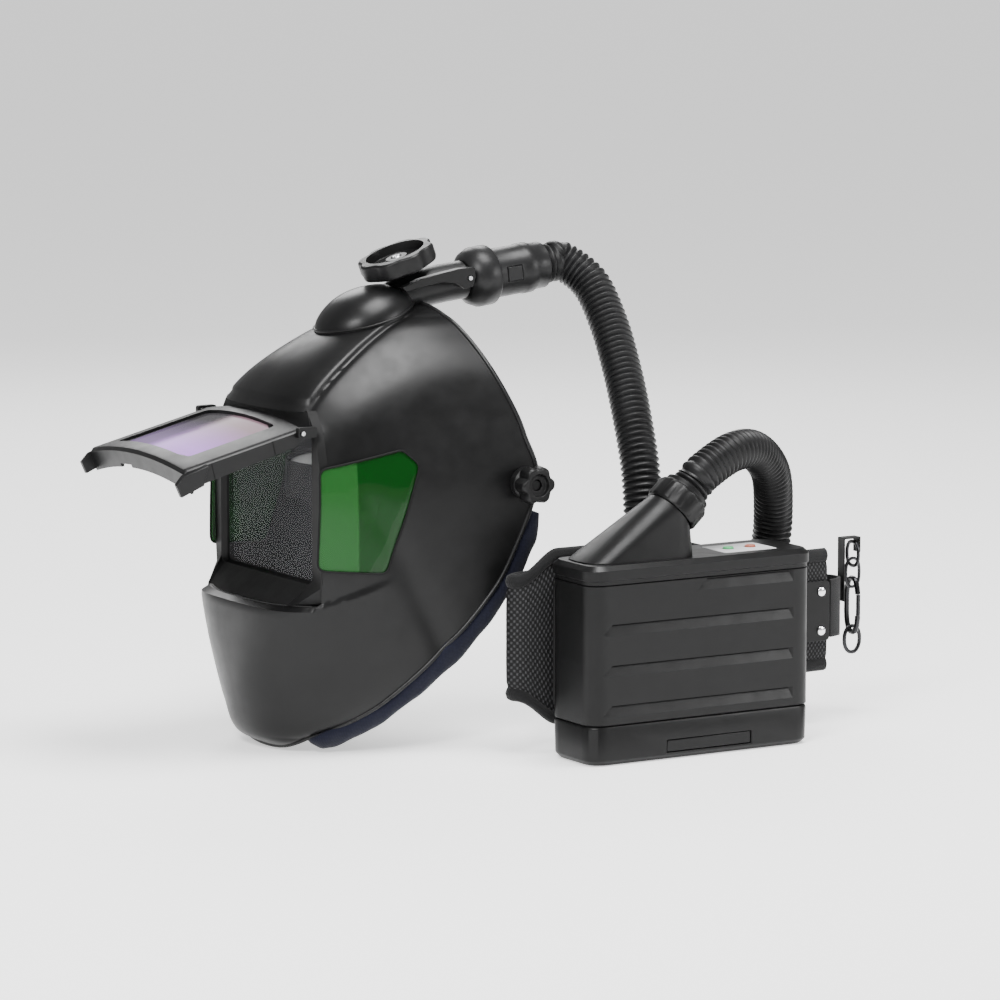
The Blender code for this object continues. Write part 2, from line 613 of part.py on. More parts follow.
def hose_route():
    """Helmet connector, over the crown, down behind the blower, back up and over into the coupling."""
    start, axis = connector_axis()
    first = start + axis * (CONNECTOR_LENGTH + 3 * GAP)
    seat, rise = coupling_axis()
    last = seat + rise * (COUPLING_LENGTH + 3 * GAP)
    return [first, first + axis * 0.010, first + axis * 0.020, (0.130, 0.213, 0.376), (0.135, 0.190, 0.343),
            (0.133, 0.164, 0.303), (0.128, 0.139, 0.262), (0.125, 0.123, 0.226), (0.124, 0.1165, 0.190),
            (0.126, 0.1160, 0.150), (0.139, 0.1160, 0.112), (0.169, 0.1155, 0.087), (0.208, 0.1140, 0.090),
            (0.237, 0.1120, 0.117), (0.248, 0.1080, 0.152), (0.245, 0.0990, 0.186), (0.228, 0.0790, 0.221),
            (0.196, 0.0570, 0.2435), (0.163, 0.0415, 0.2455), last + rise * 0.020, last + rise * 0.008, last]


def air_hose():
    points = curve_through(hose_route(), 3)
    curve = bpy.data.curves.new("air_hose", "CURVE")
    curve.dimensions = "3D"
    curve.bevel_depth = HOSE_RADIUS
    curve.bevel_resolution = 3
    curve.use_fill_caps = True
    curve.render_resolution_u = 0
    spline = curve.splines.new("POLY")
    spline.points.add(len(points) - 1)
    for slot, place in zip(spline.points, points):
        slot.co = (*place, 1.0)
    hose = bpy.data.objects.new("air_hose", curve)
    bpy.context.scene.collection.objects.link(hose)
    curve.materials.append(plastic("hose_grey", 0.04, 0.5))


def coupling_nut():
    seat, axis = coupling_axis()
    seat = seat + axis * GAP
    profile = ((0.0150, 0.0), (0.0225, 0.0), (0.0240, 0.002, 0.0014), (0.0240, 0.017, 0.0014), (0.0225, 0.019),
               (0.0205, 0.020), (0.0205, COUPLING_LENGTH), (0.0150, COUPLING_LENGTH))
    add_object("coupling_nut", turned(profile, seat, axis, 48, 12, closed=True), plastic("nut_black", 0.02, 0.4), seat)


# ---------------------------------------------------------------- blower
def blower_housing():
    bm = block((0, 0, BATTERY_TOP + GAP), (BLOWER_W, BLOWER_D, LID_SEAM), CORNER, 6)
    housing = add_object("blower_housing", bm, plastic("housing_black", 0.02, 0.4))
    cut(housing, "cut_cavity", block((0.003, 0.005, 0.037), (BLOWER_W - 0.003, 0.080, 0.146), 0.008))
    cut(housing, "cut_air_way", block((0.048, 0.022, 0.140), (0.080, 0.054, 0.160), 0.012))
    for k, (x, z) in enumerate(((0.103, 0.138), (0.010, 0.107), (0.010, 0.0725), (0.010, 0.0385))):
        end = BLOWER_W - 0.020
        rib = loft([[Vector((x, -0.002, z)), Vector((x, -0.0019, z + 0.001)), Vector((x, -0.0018, z - 0.0001))],
                    [Vector((x + 0.010, 0.0032, z)), Vector((x + 0.010, -0.0030, z + 0.011)),
                     Vector((x + 0.010, -0.0030, z - 0.0001))],
                    [Vector((end, 0.0032, z)), Vector((end, -0.0030, z + 0.011)), Vector((end, -0.0030, z - 0.0001))]])
        cut(housing, f"cut_rib_{k}", rib)


def blower_top_cover():
    low, high = LID_SEAM + GAP, BLOWER_TOP
    lip = 0.0015
    rings = []
    for z, grow in ((low, 0.0), (low + 0.003, 0.0), (low + 0.004, lip), (high - 0.004, lip), (high, -0.003)):
        outline = rounded(rectangle(-grow, BLOWER_W + grow, -grow, BLOWER_D + grow), CORNER + grow, 6)
        rings.append([Vector((x, y, z)) for x, y in outline])
    cover = add_object("blower_top_cover", loft(rings), plastic("cover_black", 0.02, 0.4))
    seat, axis = coupling_axis()
    side, up, _ = frame_of(axis)
    bm = bmesh.new()
    for x, y in rounded(rectangle(0.006, 0.112, 0.007, 0.061), 0.024, 6):
        bm.verts.new((x, y, high - 0.004))
        bm.verts.new((x, y, high + 0.001))
    for i in range(32):
        angle = 2 * pi * i / 32
        bm.verts.new(seat + (side * cos(angle) + up * sin(angle)) * 0.0215)
    hull = bmesh.ops.convex_hull(bm, input=bm.verts)
    inside = {item for item in hull["geom_interior"] + hull["geom_unused"] if isinstance(item, bmesh.types.BMVert)}
    bmesh.ops.delete(bm, geom=list(inside), context="VERTS")
    cut(cover, "join_outlet", bm, "UNION")
    bore = curve_through([seat + axis * 0.01, seat - axis * 0.012, (0.070, 0.038, 0.172), (0.064, 0.038, 0.140)], 4)
    cut(cover, "cut_outlet", loft(circles_along(bore, 0.0155, 20)))
    cut(cover, "cut_panel", block((0.1395, 0.0135, high - 0.0012), (0.1925, 0.0525, high + 0.01), 0.003))
    for k, x in enumerate((0.155, 0.177)):
        cut(cover, f"cut_button_{k}", rod((x, 0.033, high - 0.007), (x, 0.033, high + 0.01), 0.0052))


def control_panel():
    panel = add_object("control_panel", block((0.140, 0.014, BLOWER_TOP - 0.0008), (0.192, 0.052, BLOWER_TOP + 0.0002),
                                              0.0025), material("panel_grey", (0.6, 0.62, 0.62), 0.5))
    for name, x, colour in (("speed_button", 0.155, (0.05, 0.45, 0.15)), ("power_button", 0.177, (0.4, 0.16, 0.1))):
        cut(panel, "cut_" + name, rod((x, 0.033, BLOWER_TOP - 0.01), (x, 0.033, BLOWER_TOP + 0.01), 0.0052))
        profile = ((0, -0.0035), (0.0046, -0.0035), (0.0046, 0.0010), (0.0038, 0.0018), (0, 0.0020))
        add_object(name, turned(profile, (x, 0.033, BLOWER_TOP), (0, 0, 1), 20), material(name, colour, 0.4),
                   (x, 0.033, BLOWER_TOP))


def blower_inside():
    centre = (FAN_X, 0, FAN_Z)
    motor = ((0, 0.008), (0.017, 0.008), (0.017, 0.024), (0.0075, 0.024), (0.0075, 0.026), (0.0024, 0.026),
             (0.0024, 0.047), (0, 0.047))
    add_object("fan_motor", turned(motor, centre, (0, 1, 0), 24), material("motor_steel", (0.4, 0.4, 0.42), 0.35, 1.0))
    blades = 14
    outline = []
    for k in range(blades):
        for radius, turn in ((0.014, 0.0), (0.034, 0.22), (0.034, 0.30), (0.014, 0.14)):
            angle = 2 * pi * (k + turn * 1.6) / blades
            outline.append((radius * cos(angle), radius * sin(angle)))
    wheel = add_object("impeller", prism(outline, lambda x, z: (FAN_X + x, 0.030, FAN_Z + z),
                                         lambda x, z: (FAN_X + x, 0.052, FAN_Z + z)),
                       plastic("impeller_grey", 0.3, 0.5), (FAN_X, 0.041, FAN_Z))
    cut(wheel, "cut_impeller_bore", rod((FAN_X, 0.02, FAN_Z), (FAN_X, 0.06, FAN_Z), 0.0029, 16))
    casing = ((0.0405, 0.0265), (0.0405, 0.056), (0.0385, 0.056), (0.0385, 0.0285), (0.0085, 0.0285), (0.0085, 0.0265))
    scroll = add_object("fan_scroll", turned(casing, centre, (0, 1, 0), 36, closed=True),
                        plastic("scroll_black", 0.05, 0.5))
    cut(scroll, "cut_scroll_outlet", block((FAN_X - 0.012, 0.0290, FAN_Z + 0.02), (FAN_X + 0.016, 0.050, 0.16)))
    pleats = 16
    front, back = [], []
    for k in range(pleats + 1):
        x = 0.122 + 0.084 * k / pleats
        shift = 0.004 if k % 2 else 0.0
        front.append((x, 0.026 + shift))
        back.append((x, 0.052 + shift))
    add_object("particle_filter", prism(front + back[::-1], lambda x, y: (x, y, 0.046), lambda x, y: (x, y, 0.138)),
               material("filter_white", (0.75, 0.75, 0.72), 0.9))
    add_object("circuit_board", block((0.120, 0.0095, 0.060), (0.205, 0.0111, 0.140)),
               material("board_green", (0.03, 0.18, 0.07), 0.5))


def back_cover():
    outline = rounded(rectangle(0.006, BLOWER_W - 0.006, 0.039, 0.146), 0.008)
    cover = add_object("back_cover", prism(outline, lambda x, z: (x, BLOWER_D + GAP, z),
                                           lambda x, z: (x, BLOWER_D + 0.0032, z)), plastic("back_black", 0.02, 0.5))
    for k in range(5):
        x = 0.128 + 0.016 * k
        cut(cover, f"cut_inlet_{k}", block((x, 0.05, 0.055), (x + 0.008, 0.09, 0.130)))


def battery():
    rings = []
    for z, shrink in ((0.0, 0.0035), (0.004, 0.0005), (BATTERY_TOP - 0.002, 0.0), (BATTERY_TOP, 0.0010)):
        outline = rounded(rectangle(shrink, BLOWER_W - shrink, shrink, BLOWER_D - shrink), CORNER, 6)
        rings.append([Vector((x, y, z)) for x, y in outline])
    pack = add_object("battery_pack", loft(rings), plastic("battery_black", 0.02, 0.42))
    cut(pack, "cut_latch", block((0.0740, -0.01, 0.0055), (0.1580, 0.0044, 0.0165)))
    add_object("battery_latch", block((0.0745, 0.0010, 0.0060), (0.1575, 0.0030, 0.0160)),
               plastic("latch_black", 0.025, 0.4), (0.116, 0.002, 0.011))


# ---------------------------------------------------------------- belt
def belt_line():
    return curve_through([(x, y, BELT_Z) for x, y in BELT_ROUTE], 6, closed=True)


def strip(name, path, thick, heights, mat):
    """Upright band along a path; heights are its height at each point."""
    rings = []
    last = len(path) - 1
    for i, p in enumerate(path):
        ahead = (path[min(i + 1, last)] - path[max(i - 1, 0)]).normalized()
        out = Vector((ahead.y, -ahead.x, 0)) * (thick / 2)
        rise = Vector((0, 0, heights[i] / 2))
        rings.append([p - out - rise, p + out - rise, p + out + rise, p - out + rise])
    return add_object(name, loft(rings), mat)


def belt():
    line = belt_line()                     # six points for each span of the route
    pad_start, pad_end = 14 * 6 + 4, 7 * 6 - 3
    pad_path = line[pad_start:] + line[:pad_end]
    heights = []
    for p in pad_path:
        near = max(0.0, 1 - abs(p.x - 0.100) / 0.125)
        heights.append(0.100 + 0.046 * (near * near * (3 - 2 * near)))
    strip("belt_pad", pad_path, PAD_THICK, heights, material("mesh_black", (0.02, 0.02, 0.022), 0.8))
    web = material("web_black", (0.02, 0.02, 0.022), 0.7)
    buckle = 9 * 6
    left = line[pad_end:buckle - 4]
    strip("belt_webbing_left", left, WEB_THICK, [WEB_HEIGHT] * len(left), web)
    right = line[buckle + 6:pad_start - 1]
    strip("belt_webbing_right", right, WEB_THICK, [WEB_HEIGHT] * len(right), web)
    centre = line[buckle]
    for name, x0, x1, half in (("buckle_plug", left[-1].x + GAP, centre.x + 0.004, 0.027),
                               ("buckle_socket", centre.x + 0.0045, right[0].x - GAP, 0.030)):
        add_object(name, block((x0, centre.y - 0.006, BELT_Z - half), (x1, centre.y + 0.006, BELT_Z + half)),
                   plastic(name + "_black", 0.02, 0.4))


def patch_and_rivets():
    """Hard-wearing patch on the right of the belt, with four rivets through it."""
    face = BELT_ROUTE[15][1] - PAD_THICK / 2
    outline = rounded(rectangle(0.247, 0.287, BELT_Z - 0.026, BELT_Z + 0.026), 0.004, 3)
    low, high = face - 0.0006, face - 0.0026
    add_object("belt_patch", prism(outline, lambda x, z: (x, low, z), lambda x, z: (x, high, z)),
                       material("patch_leather", (0.015, 0.015, 0.016), 0.5))
    number = 0
    for x in (0.256, 0.278):
        for z in (BELT_Z - 0.017, BELT_Z + 0.017):
            number += 1
            profile = ((0, 0.0), (0.0042, 0.0), (0.0038, 0.0010), (0.0020, 0.0017), (0, 0.0018))
            add_object(f"rivet_{number}", turned(profile, (x, high - GAP, z), (0, -1, 0), 16),
                       material(f"rivet_{number}", (0.7, 0.7, 0.72), 0.25, 1.0))


def oval(centre, half_wide, half_high, across, count=20, power=2.0):
    """Points of an upright oval loop; across is its level direction."""
    result = []
    for i in range(count):
        angle = 2 * pi * i / count
        c, s = cos(angle), sin(angle)
        reach = (abs(c) ** power + abs(s) ** power) ** (-1 / power)
        result.append(Vector(centre) + Vector(across) * (half_wide * c * reach) + Vector((0, 0, half_high * s * reach)))
    return result


def hook_set():
    """Tab on the belt's right end, its D-ring, a link, and a snap hook with its gate and swivel ring."""
    steel = material("hook_black", (0.03, 0.03, 0.032), 0.3, 0.6)
    x, y = 0.3255, 0.095
    along_x, along_y = (1, 0, 0), (0, 1, 0)
    tab = ((0.3130, 0.100), (0.3130, 0.1556), (0.3305, 0.1556), (0.3305, 0.1420), (0.3292, 0.1420), (0.3292, 0.1542),
           (0.3143, 0.1542), (0.3143, 0.100))
    add_object("ring_tab", prism(tab, lambda a, z: (a, y - 0.005, z), lambda a, z: (a, y + 0.005, z)),
               material("tab_leather", (0.015, 0.015, 0.016), 0.6))
    add_object("d_ring", wire_loop(oval((x, y, 0.1405), 0.0085, 0.0105, along_y, power=2.6), 0.0017, along_x), steel)
    add_object("hook_link", wire_loop(oval((x, y, 0.1240), 0.0070, 0.0125, along_x, power=2.6), 0.0015, along_y),
               steel, (x, y, 0.1300))
    hook = wire_loop(oval((x, y, 0.0955), 0.0085, 0.0235, along_y, 28, 2.8), 0.0024, along_x, 8)
    snap = add_object("snap_hook", hook, steel, (x, y, 0.1115))
    gate_y = y - 0.0090
    cut(snap, "cut_gate", block((x - 0.004, gate_y - 0.006, 0.0870), (x + 0.004, gate_y + 0.004, 0.1060)))
    add_object("hook_gate", rod((x, gate_y, 0.0875), (x, gate_y, 0.1055), 0.0019, 12), steel, (x, gate_y, 0.0875))
    add_object("swivel_ring", wire_loop(oval((x, y, 0.0657), 0.0080, 0.0115, along_x, power=2.2), 0.0018, along_y),
               steel)


def clear_scene():
    for obj in list(bpy.data.objects):
        bpy.data.objects.remove(obj)


def build():
    clear_scene()
    helmet_shell()
    side_window("side_window_left", -1)
    side_window("side_window_right", 1)
    face_seal()
    flip_lid()
    lid_lenses()
    hinge_hardware()
    grinding_visor()
    inlet_elbow()
    crown_cowl()
    airflow_knob()
    latch_lever()
    swivel_connector()
    inner_air_duct()
    headgear()
    pivot_hardware()
    air_hose()
    coupling_nut()
    blower_housing()
    blower_top_cover()
    control_panel()
    blower_inside()
    back_cover()
    battery()
    belt()
    patch_and_rivets()
    hook_set()
    for obj in bpy.data.objects:
        obj.location -= Vector(MIDDLE)


build()
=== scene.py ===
"""Looks of the powered air respirator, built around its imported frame. Metres, +Z up."""
import json
from math import cos, exp, pi, radians, sin, sqrt

import bmesh
import bpy
from mathutils import Matrix, Vector

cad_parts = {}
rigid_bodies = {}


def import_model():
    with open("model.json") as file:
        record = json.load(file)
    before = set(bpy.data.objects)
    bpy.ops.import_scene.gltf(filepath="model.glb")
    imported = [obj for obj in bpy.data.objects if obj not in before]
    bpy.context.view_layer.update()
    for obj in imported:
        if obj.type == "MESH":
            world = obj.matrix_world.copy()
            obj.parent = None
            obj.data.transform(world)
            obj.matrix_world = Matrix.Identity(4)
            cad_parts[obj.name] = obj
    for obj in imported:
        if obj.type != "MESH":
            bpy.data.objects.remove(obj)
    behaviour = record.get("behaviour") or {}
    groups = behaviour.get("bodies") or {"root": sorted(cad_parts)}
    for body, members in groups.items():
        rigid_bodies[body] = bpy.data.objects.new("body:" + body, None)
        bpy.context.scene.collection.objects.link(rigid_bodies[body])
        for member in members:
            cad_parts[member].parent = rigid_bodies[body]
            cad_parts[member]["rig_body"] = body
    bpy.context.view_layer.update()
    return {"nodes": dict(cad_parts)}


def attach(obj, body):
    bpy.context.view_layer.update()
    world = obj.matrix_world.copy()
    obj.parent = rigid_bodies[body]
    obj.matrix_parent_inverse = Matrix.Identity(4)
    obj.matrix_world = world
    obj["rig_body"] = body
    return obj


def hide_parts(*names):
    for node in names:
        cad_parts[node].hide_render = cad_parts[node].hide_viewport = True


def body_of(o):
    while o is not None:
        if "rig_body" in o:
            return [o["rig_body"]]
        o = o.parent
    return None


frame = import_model()
NODES = frame["nodes"]

# Drawn places have the blower's front corner at zero, as the CAD's constants do; the frame is centred.
MIDDLE = Vector((0.0189, 0.1882, 0.0))
HELMET_Y = 0.233
GAP = 0.0004

# hose: its ends at the swivel connector and at the blower's coupling
CONNECTOR_TILT = radians(6.5)
CONNECTOR_AXIS = Vector((cos(CONNECTOR_TILT), 0, sin(CONNECTOR_TILT)))
CONNECTOR_END = Vector((0.0150, HELMET_Y, 0.3827)) + 0.0792 * CONNECTOR_AXIS
COUPLING_RISE = radians(43)
COUPLING_AXIS = Vector((cos(COUPLING_RISE), 0, sin(COUPLING_RISE)))
COUPLING_END = Vector((0.097, 0.034, 0.201)) + 0.0252 * COUPLING_AXIS
HOSE_RADIUS = 0.017
HOSE_PITCH = 0.0052
RIB_HEIGHT = 0.0021

# helmet shell
# slices: height, front x, rim x, rim half width, squareness, taper to the front, set-back of the corners
SHELL_SLICES = (
    (0.001, -0.178, -0.178, 0.000, 2.2, 0.00, 0.000),
    (0.012, -0.196, -0.166, 0.052, 2.2, 0.05, 0.000),
    (0.039, -0.203, -0.121, 0.088, 2.3, 0.08, 0.002),
    (0.085, -0.205, -0.069, 0.108, 2.7, 0.10, 0.004),
    (0.126, -0.205, -0.030, 0.115, 4.2, 0.12, 0.008),
    (0.160, -0.200, -0.008, 0.118, 6.5, 0.14, 0.010),
    (0.222, -0.196, 0.017, 0.119, 8.0, 0.15, 0.012),
    (0.262, -0.195, 0.009, 0.112, 7.0, 0.14, 0.012),
    (0.286, -0.192, 0.002, 0.104, 5.0, 0.13, 0.011),
    (0.316, -0.168, -0.008, 0.086, 3.2, 0.10, 0.006),
    (0.342, -0.124, -0.018, 0.062, 2.7, 0.06, 0.002),
    (0.357, -0.084, -0.026, 0.040, 2.4, 0.03, 0.000),
    (0.366, -0.033, -0.033, 0.000, 2.2, 0.00, 0.000),
)
SHELL_ROWS = 210
SHELL_COLUMNS = 210
SHELL_WALL = 0.0026
SIDE_WINDOW = ((-0.176, 0.243), (-0.104, 0.256), (-0.089, 0.243), (-0.104, 0.200), (-0.121, 0.154),
               (-0.179, 0.159))
WINDOW_CORNER = 0.008
OPENING_HALF = 0.0925
SILL = 0.1290
BROW = 0.2880
PANEL_BACK = -0.1680
INLET_ROUTE = ((-0.080, 0.331), (-0.070, 0.353), (-0.046, 0.3715))
INLET_RADIUS = 0.018
RIM_BEAD = 0.0019
SEAM_BEAD = 0.0010
COWL_BEAD = 0.0011

# flip lid
HINGE = (-0.190, HELMET_Y, 0.2735)
LID_DROP = radians(14)
LID_LENGTH = 0.109
LID_HALF = 0.085
BOW = 0.0085

# belt
BELT_Z = 0.097
BELT_ROUTE = ((0.110, 0.0805), (0.040, 0.0805), (0.006, 0.0810), (-0.014, 0.0850), (-0.0205, 0.0925),
              (-0.014, 0.0995), (0.006, 0.1060), (0.040, 0.1240), (0.090, 0.1460), (0.150, 0.1530),
              (0.220, 0.1500), (0.274, 0.1360), (0.303, 0.1150), (0.3105, 0.0970), (0.301, 0.0850),
              (0.272, 0.0805), (0.190, 0.0805))
WEBBING = 0.050
# steps along each span of the route, and the steps where the pad starts and ends and the buckle sits
BELT_STEPS = 12
PAD_START, PAD_END, BUCKLE = 176, 78, 108

# blower housing; ribs are (start, lower edge)
BLOWER_W, BLOWER_D = 0.219, 0.068
BATTERY_TOP, LID_SEAM, CORNER = 0.033, 0.150, 0.016
RIBS = ((0.101, 0.1370), (0.008, 0.1055), (0.008, 0.0715), (0.008, 0.0380))
RIB_HIGH, RIB_DEEP, RIB_POINT = 0.0115, 0.0034, 0.012


def at(x, y, z):
    """Place in the frame of a drawn point."""
    return Vector((x, y, z)) - MIDDLE


# ---------------------------------------------------------------- camera
def camera():
    """Long lens at the photograph's angle, a little above the object."""
    azimuth, elevation = radians(-31), radians(8)
    distance, width = 4.2, 0.833
    target = at(-0.0154, 0.120, 0.2089)
    back = Vector((sin(azimuth) * cos(elevation), -cos(azimuth) * cos(elevation), sin(elevation)))
    data = bpy.data.cameras.new("camera")
    data.sensor_width = 36.0
    data.lens = data.sensor_width * distance / width
    data.clip_start, data.clip_end = 0.1, 50.0
    cam = bpy.data.objects.new("camera", data)
    cam.location = target + back * distance
    cam.rotation_mode = "QUATERNION"
    cam.rotation_quaternion = (-back).to_track_quat("-Z", "Y")
    bpy.context.scene.collection.objects.link(cam)
    bpy.context.scene.camera = cam


# ---------------------------------------------------------------- materials
class Nodes:
    """Short-hand for building one material's node tree."""

    def __init__(self, name, colour, roughness, metallic=0.0, **inputs):
        self.mat = bpy.data.materials.new(name)
        self.mat.use_nodes = True
        self.tree = self.mat.node_tree
        self.shader = self.tree.nodes["Principled BSDF"]
        self.set("Base Color", (*colour, 1.0))
        self.set("Roughness", roughness)
        self.set("Metallic", metallic)
        for key, value in inputs.items():
            self.set(key.replace("_", " "), value)
        self.coords = self.add("ShaderNodeTexCoord").outputs["Object"]

    def set(self, name, value):
        self.shader.inputs[name].default_value = value

    def add(self, kind, **values):
        node = self.tree.nodes.new(kind)
        for key, value in values.items():
            setattr(node, key, value)
        return node

    def link(self, source, target):
        self.tree.links.new(source, target)

    def noise(self, scale, detail):
        node = self.add("ShaderNodeTexNoise")
        node.inputs["Scale"].default_value = scale
        node.inputs["Detail"].default_value = detail
        node.inputs["Roughness"].default_value = 0.6
        self.link(self.coords, node.inputs["Vector"])
        return node.outputs["Fac"]

    def spread(self, value, low, high, start=0.3, end=0.7):
        node = self.add("ShaderNodeMapRange")
        for key, number in (("From Min", start), ("From Max", end), ("To Min", low), ("To Max", high)):
            node.inputs[key].default_value = number
        self.link(value, node.inputs["Value"])
        return node.outputs["Result"]

    def mix(self, value, first, second):
        node = self.add("ShaderNodeMix")
        node.data_type = "RGBA"
        node.inputs["A"].default_value = (*first, 1.0)
        node.inputs["B"].default_value = (*second, 1.0)
        self.link(value, node.inputs["Factor"])
        return node.outputs["Result"]

    def bump(self, height, strength, distance):
        node = self.add("ShaderNodeBump")
        node.inputs["Strength"].default_value = strength
        node.inputs["Distance"].default_value = distance
        self.link(height, node.inputs["Height"])
        if self.shader.inputs["Normal"].links:
            self.link(self.shader.inputs["Normal"].links[0].from_socket, node.inputs["Normal"])
        self.link(node.outputs["Normal"], self.shader.inputs["Normal"])


def moulded(name, grey, roughness, grain=0.10, tint=1.04):
    """Moulded plastic: fine grain, faint cloudiness, and rubbed patches that shine a little more."""
    m = Nodes(name, (grey, grey, grey * tint), roughness)
    m.set("Specular IOR Level", 0.22)
    cloud = m.noise(22.0, 3.0)
    m.link(m.mix(m.spread(cloud, 0.0, 1.0), (grey * 0.86, grey * 0.86, grey * 0.88),
                 (grey * 1.16, grey * 1.16, grey * 1.16 * tint)), m.shader.inputs["Base Color"])
    m.link(m.spread(m.noise(60.0, 5.0), roughness - 0.05, roughness + 0.06), m.shader.inputs["Roughness"])
    m.bump(m.noise(2600.0, 2.0), grain, 0.00012)
    return m.mat


def metal(name, colour, roughness):
    """Plated metal, faintly brushed."""
    m = Nodes(name, colour, roughness, 1.0)
    m.link(m.spread(m.noise(300.0, 4.0), roughness - 0.06, roughness + 0.08), m.shader.inputs["Roughness"])
    m.bump(m.noise(1500.0, 3.0), 0.15, 0.00008)
    return m.mat


def clear(name, colour, roughness, alpha):
    """Tinted see-through plastic: alpha blends it, so that what lies behind shows in its own place."""
    m = Nodes(name, colour, roughness, Alpha=alpha)
    m.set("IOR", 1.22)
    m.link(m.spread(m.noise(90.0, 3.0), roughness, roughness + 0.05), m.shader.inputs["Roughness"])
    return m.mat


def fabric(name, colour, light, scale, depth):
    """Woven cloth: two crossed sets of threads and a soft sheen."""
    m = Nodes(name, colour, 0.85)
    m.set("Specular IOR Level", 0.20)
    m.set("Sheen Weight", 0.12)
    m.set("Sheen Roughness", 0.5)
    waves = []
    for direction in ("X", "Z"):
        wave = m.add("ShaderNodeTexWave", wave_type="BANDS", bands_direction=direction)
        wave.inputs["Scale"].default_value = scale
        wave.inputs["Distortion"].default_value = 0.6
        wave.inputs["Detail"].default_value = 1.0
        m.link(m.coords, wave.inputs["Vector"])
        waves.append(wave.outputs["Fac"])
    product = m.add("ShaderNodeMath", operation="MULTIPLY")
    m.link(waves[0], product.inputs[0])
    m.link(waves[1], product.inputs[1])
    m.link(m.mix(product.outputs["Value"], colour, light), m.shader.inputs["Base Color"])
    m.bump(product.outputs["Value"], 0.6, depth)
    m.bump(m.noise(900.0, 2.0), 0.15, 0.0001)
    return m.mat


MATS = {}


def make_materials():
    MATS.update(
        shell=moulded("shell_plastic", 0.0040, 0.33, 0.04),
        # painted highlight: the rim bead's grey is lighter than the shell's, standing in for the bright line
        # along the flared edge
        rim=moulded("rim_plastic_painted_highlight", 0.0110, 0.28, 0.02),
        cowl=moulded("cowl_plastic", 0.0050, 0.34, 0.04),
        knob=moulded("knob_plastic", 0.0040, 0.40, 0.10),
        lid=moulded("lid_plastic", 0.0065, 0.36, 0.08),
        # painted seam shade: near-black colour for thin beads and strips that stand in for the shadow inside
        # seams
        gap=moulded("seam_shadow", 0.0010, 0.70, 0.0),
        inner=moulded("inner_plastic", 0.0035, 0.50, 0.12),
        connector=moulded("connector_plastic", 0.0090, 0.36, 0.08),
        housing=moulded("housing_plastic", 0.0032, 0.38, 0.12),
        hose=moulded("hose_rubber", 0.0075, 0.40, 0.10),
        steel=metal("steel", (0.55, 0.55, 0.56), 0.28),
        rivet=metal("rivet_steel", (0.85, 0.85, 0.86), 0.18),
        hook=metal("hook_metal", (0.035, 0.035, 0.037), 0.30),
        green=green_look(),
        visor=clear("visor_clear", (0.03, 0.03, 0.035), 0.04, 0.22),
        violet=lens_look(),
        filter=moulded("filter_glass", 0.010, 0.12, 0.0),
        panel=moulded("panel_pale", 0.50, 0.45, 0.05, 1.0),
        green_button=Nodes("button_green", (0.06, 0.40, 0.14), 0.4).mat,
        red_button=Nodes("button_red", (0.36, 0.10, 0.06), 0.4).mat,
        board=moulded("board_green", 0.05, 0.4),
        paper=fabric("filter_paper", (0.70, 0.70, 0.66), (0.80, 0.80, 0.77), 250.0, 0.0002),
        sweat=fabric("sweat_cloth", (0.45, 0.46, 0.45), (0.60, 0.61, 0.60), 320.0, 0.0003),
        navy=fabric("seal_cloth", (0.0016, 0.0022, 0.0085), (0.0038, 0.0052, 0.0200), 260.0, 0.0003),
        mesh=weave("mesh_cloth"),
        web=fabric("web_cloth", (0.0018, 0.0018, 0.0020), (0.0120, 0.0120, 0.0130), 420.0, 0.0004),
        leather=moulded("leather_black", 0.0050, 0.46, 0.5),
    )


def green_look():
    """Deep green window with a painted reflection: a shade paler on the half nearer the wearer's nose, darker
    on the half behind.
    """
    m = Nodes("window_green", (0.004, 0.06, 0.006), 0.07, Alpha=0.92)
    m.set("IOR", 1.25)
    split = m.add("ShaderNodeSeparateXYZ")
    m.link(m.coords, split.inputs["Vector"])
    # painted reflection: the front half of the pane is coloured paler and the rear half darker, split across
    # a thin band in X
    along = m.spread(split.outputs["X"], 0.0, 1.0, -0.1645, -0.1635)
    m.link(m.mix(along, (0.012, 0.070, 0.014), (0.0020, 0.030, 0.0030)), m.shader.inputs["Base Color"])
    return m.mat


def lens_look():
    """Coated violet lens with its reflection painted in: violet at the front, paling to rose grey at the
    hinge, darker on its far half.
    """
    m = Nodes("lens_violet", (0.36, 0.25, 0.46), 0.12, Alpha=0.95)
    m.set("IOR", 1.08)
    split = m.add("ShaderNodeSeparateXYZ")
    m.link(m.coords, split.inputs["Vector"])
    # painted reflection: the colour pales from the front of the lens towards the hinge
    along = m.spread(split.outputs["X"], 0.0, 1.0, -0.285, -0.235)
    # painted reflection: the far half of the lens is coloured darker than the near half
    across = m.spread(split.outputs["Y"], 0.0, 1.0, 0.040, 0.062)
    near = m.mix(along, (0.30, 0.13, 0.46), (0.15, 0.095, 0.115))
    far = m.mix(along, (0.15, 0.105, 0.20), (0.035, 0.033, 0.036))
    both = m.add("ShaderNodeMix", data_type="RGBA")
    m.link(across, both.inputs["Factor"])
    m.link(near, both.inputs["A"])
    m.link(far, both.inputs["B"])
    m.link(both.outputs["Result"], m.shader.inputs["Base Color"])
    return m.mat


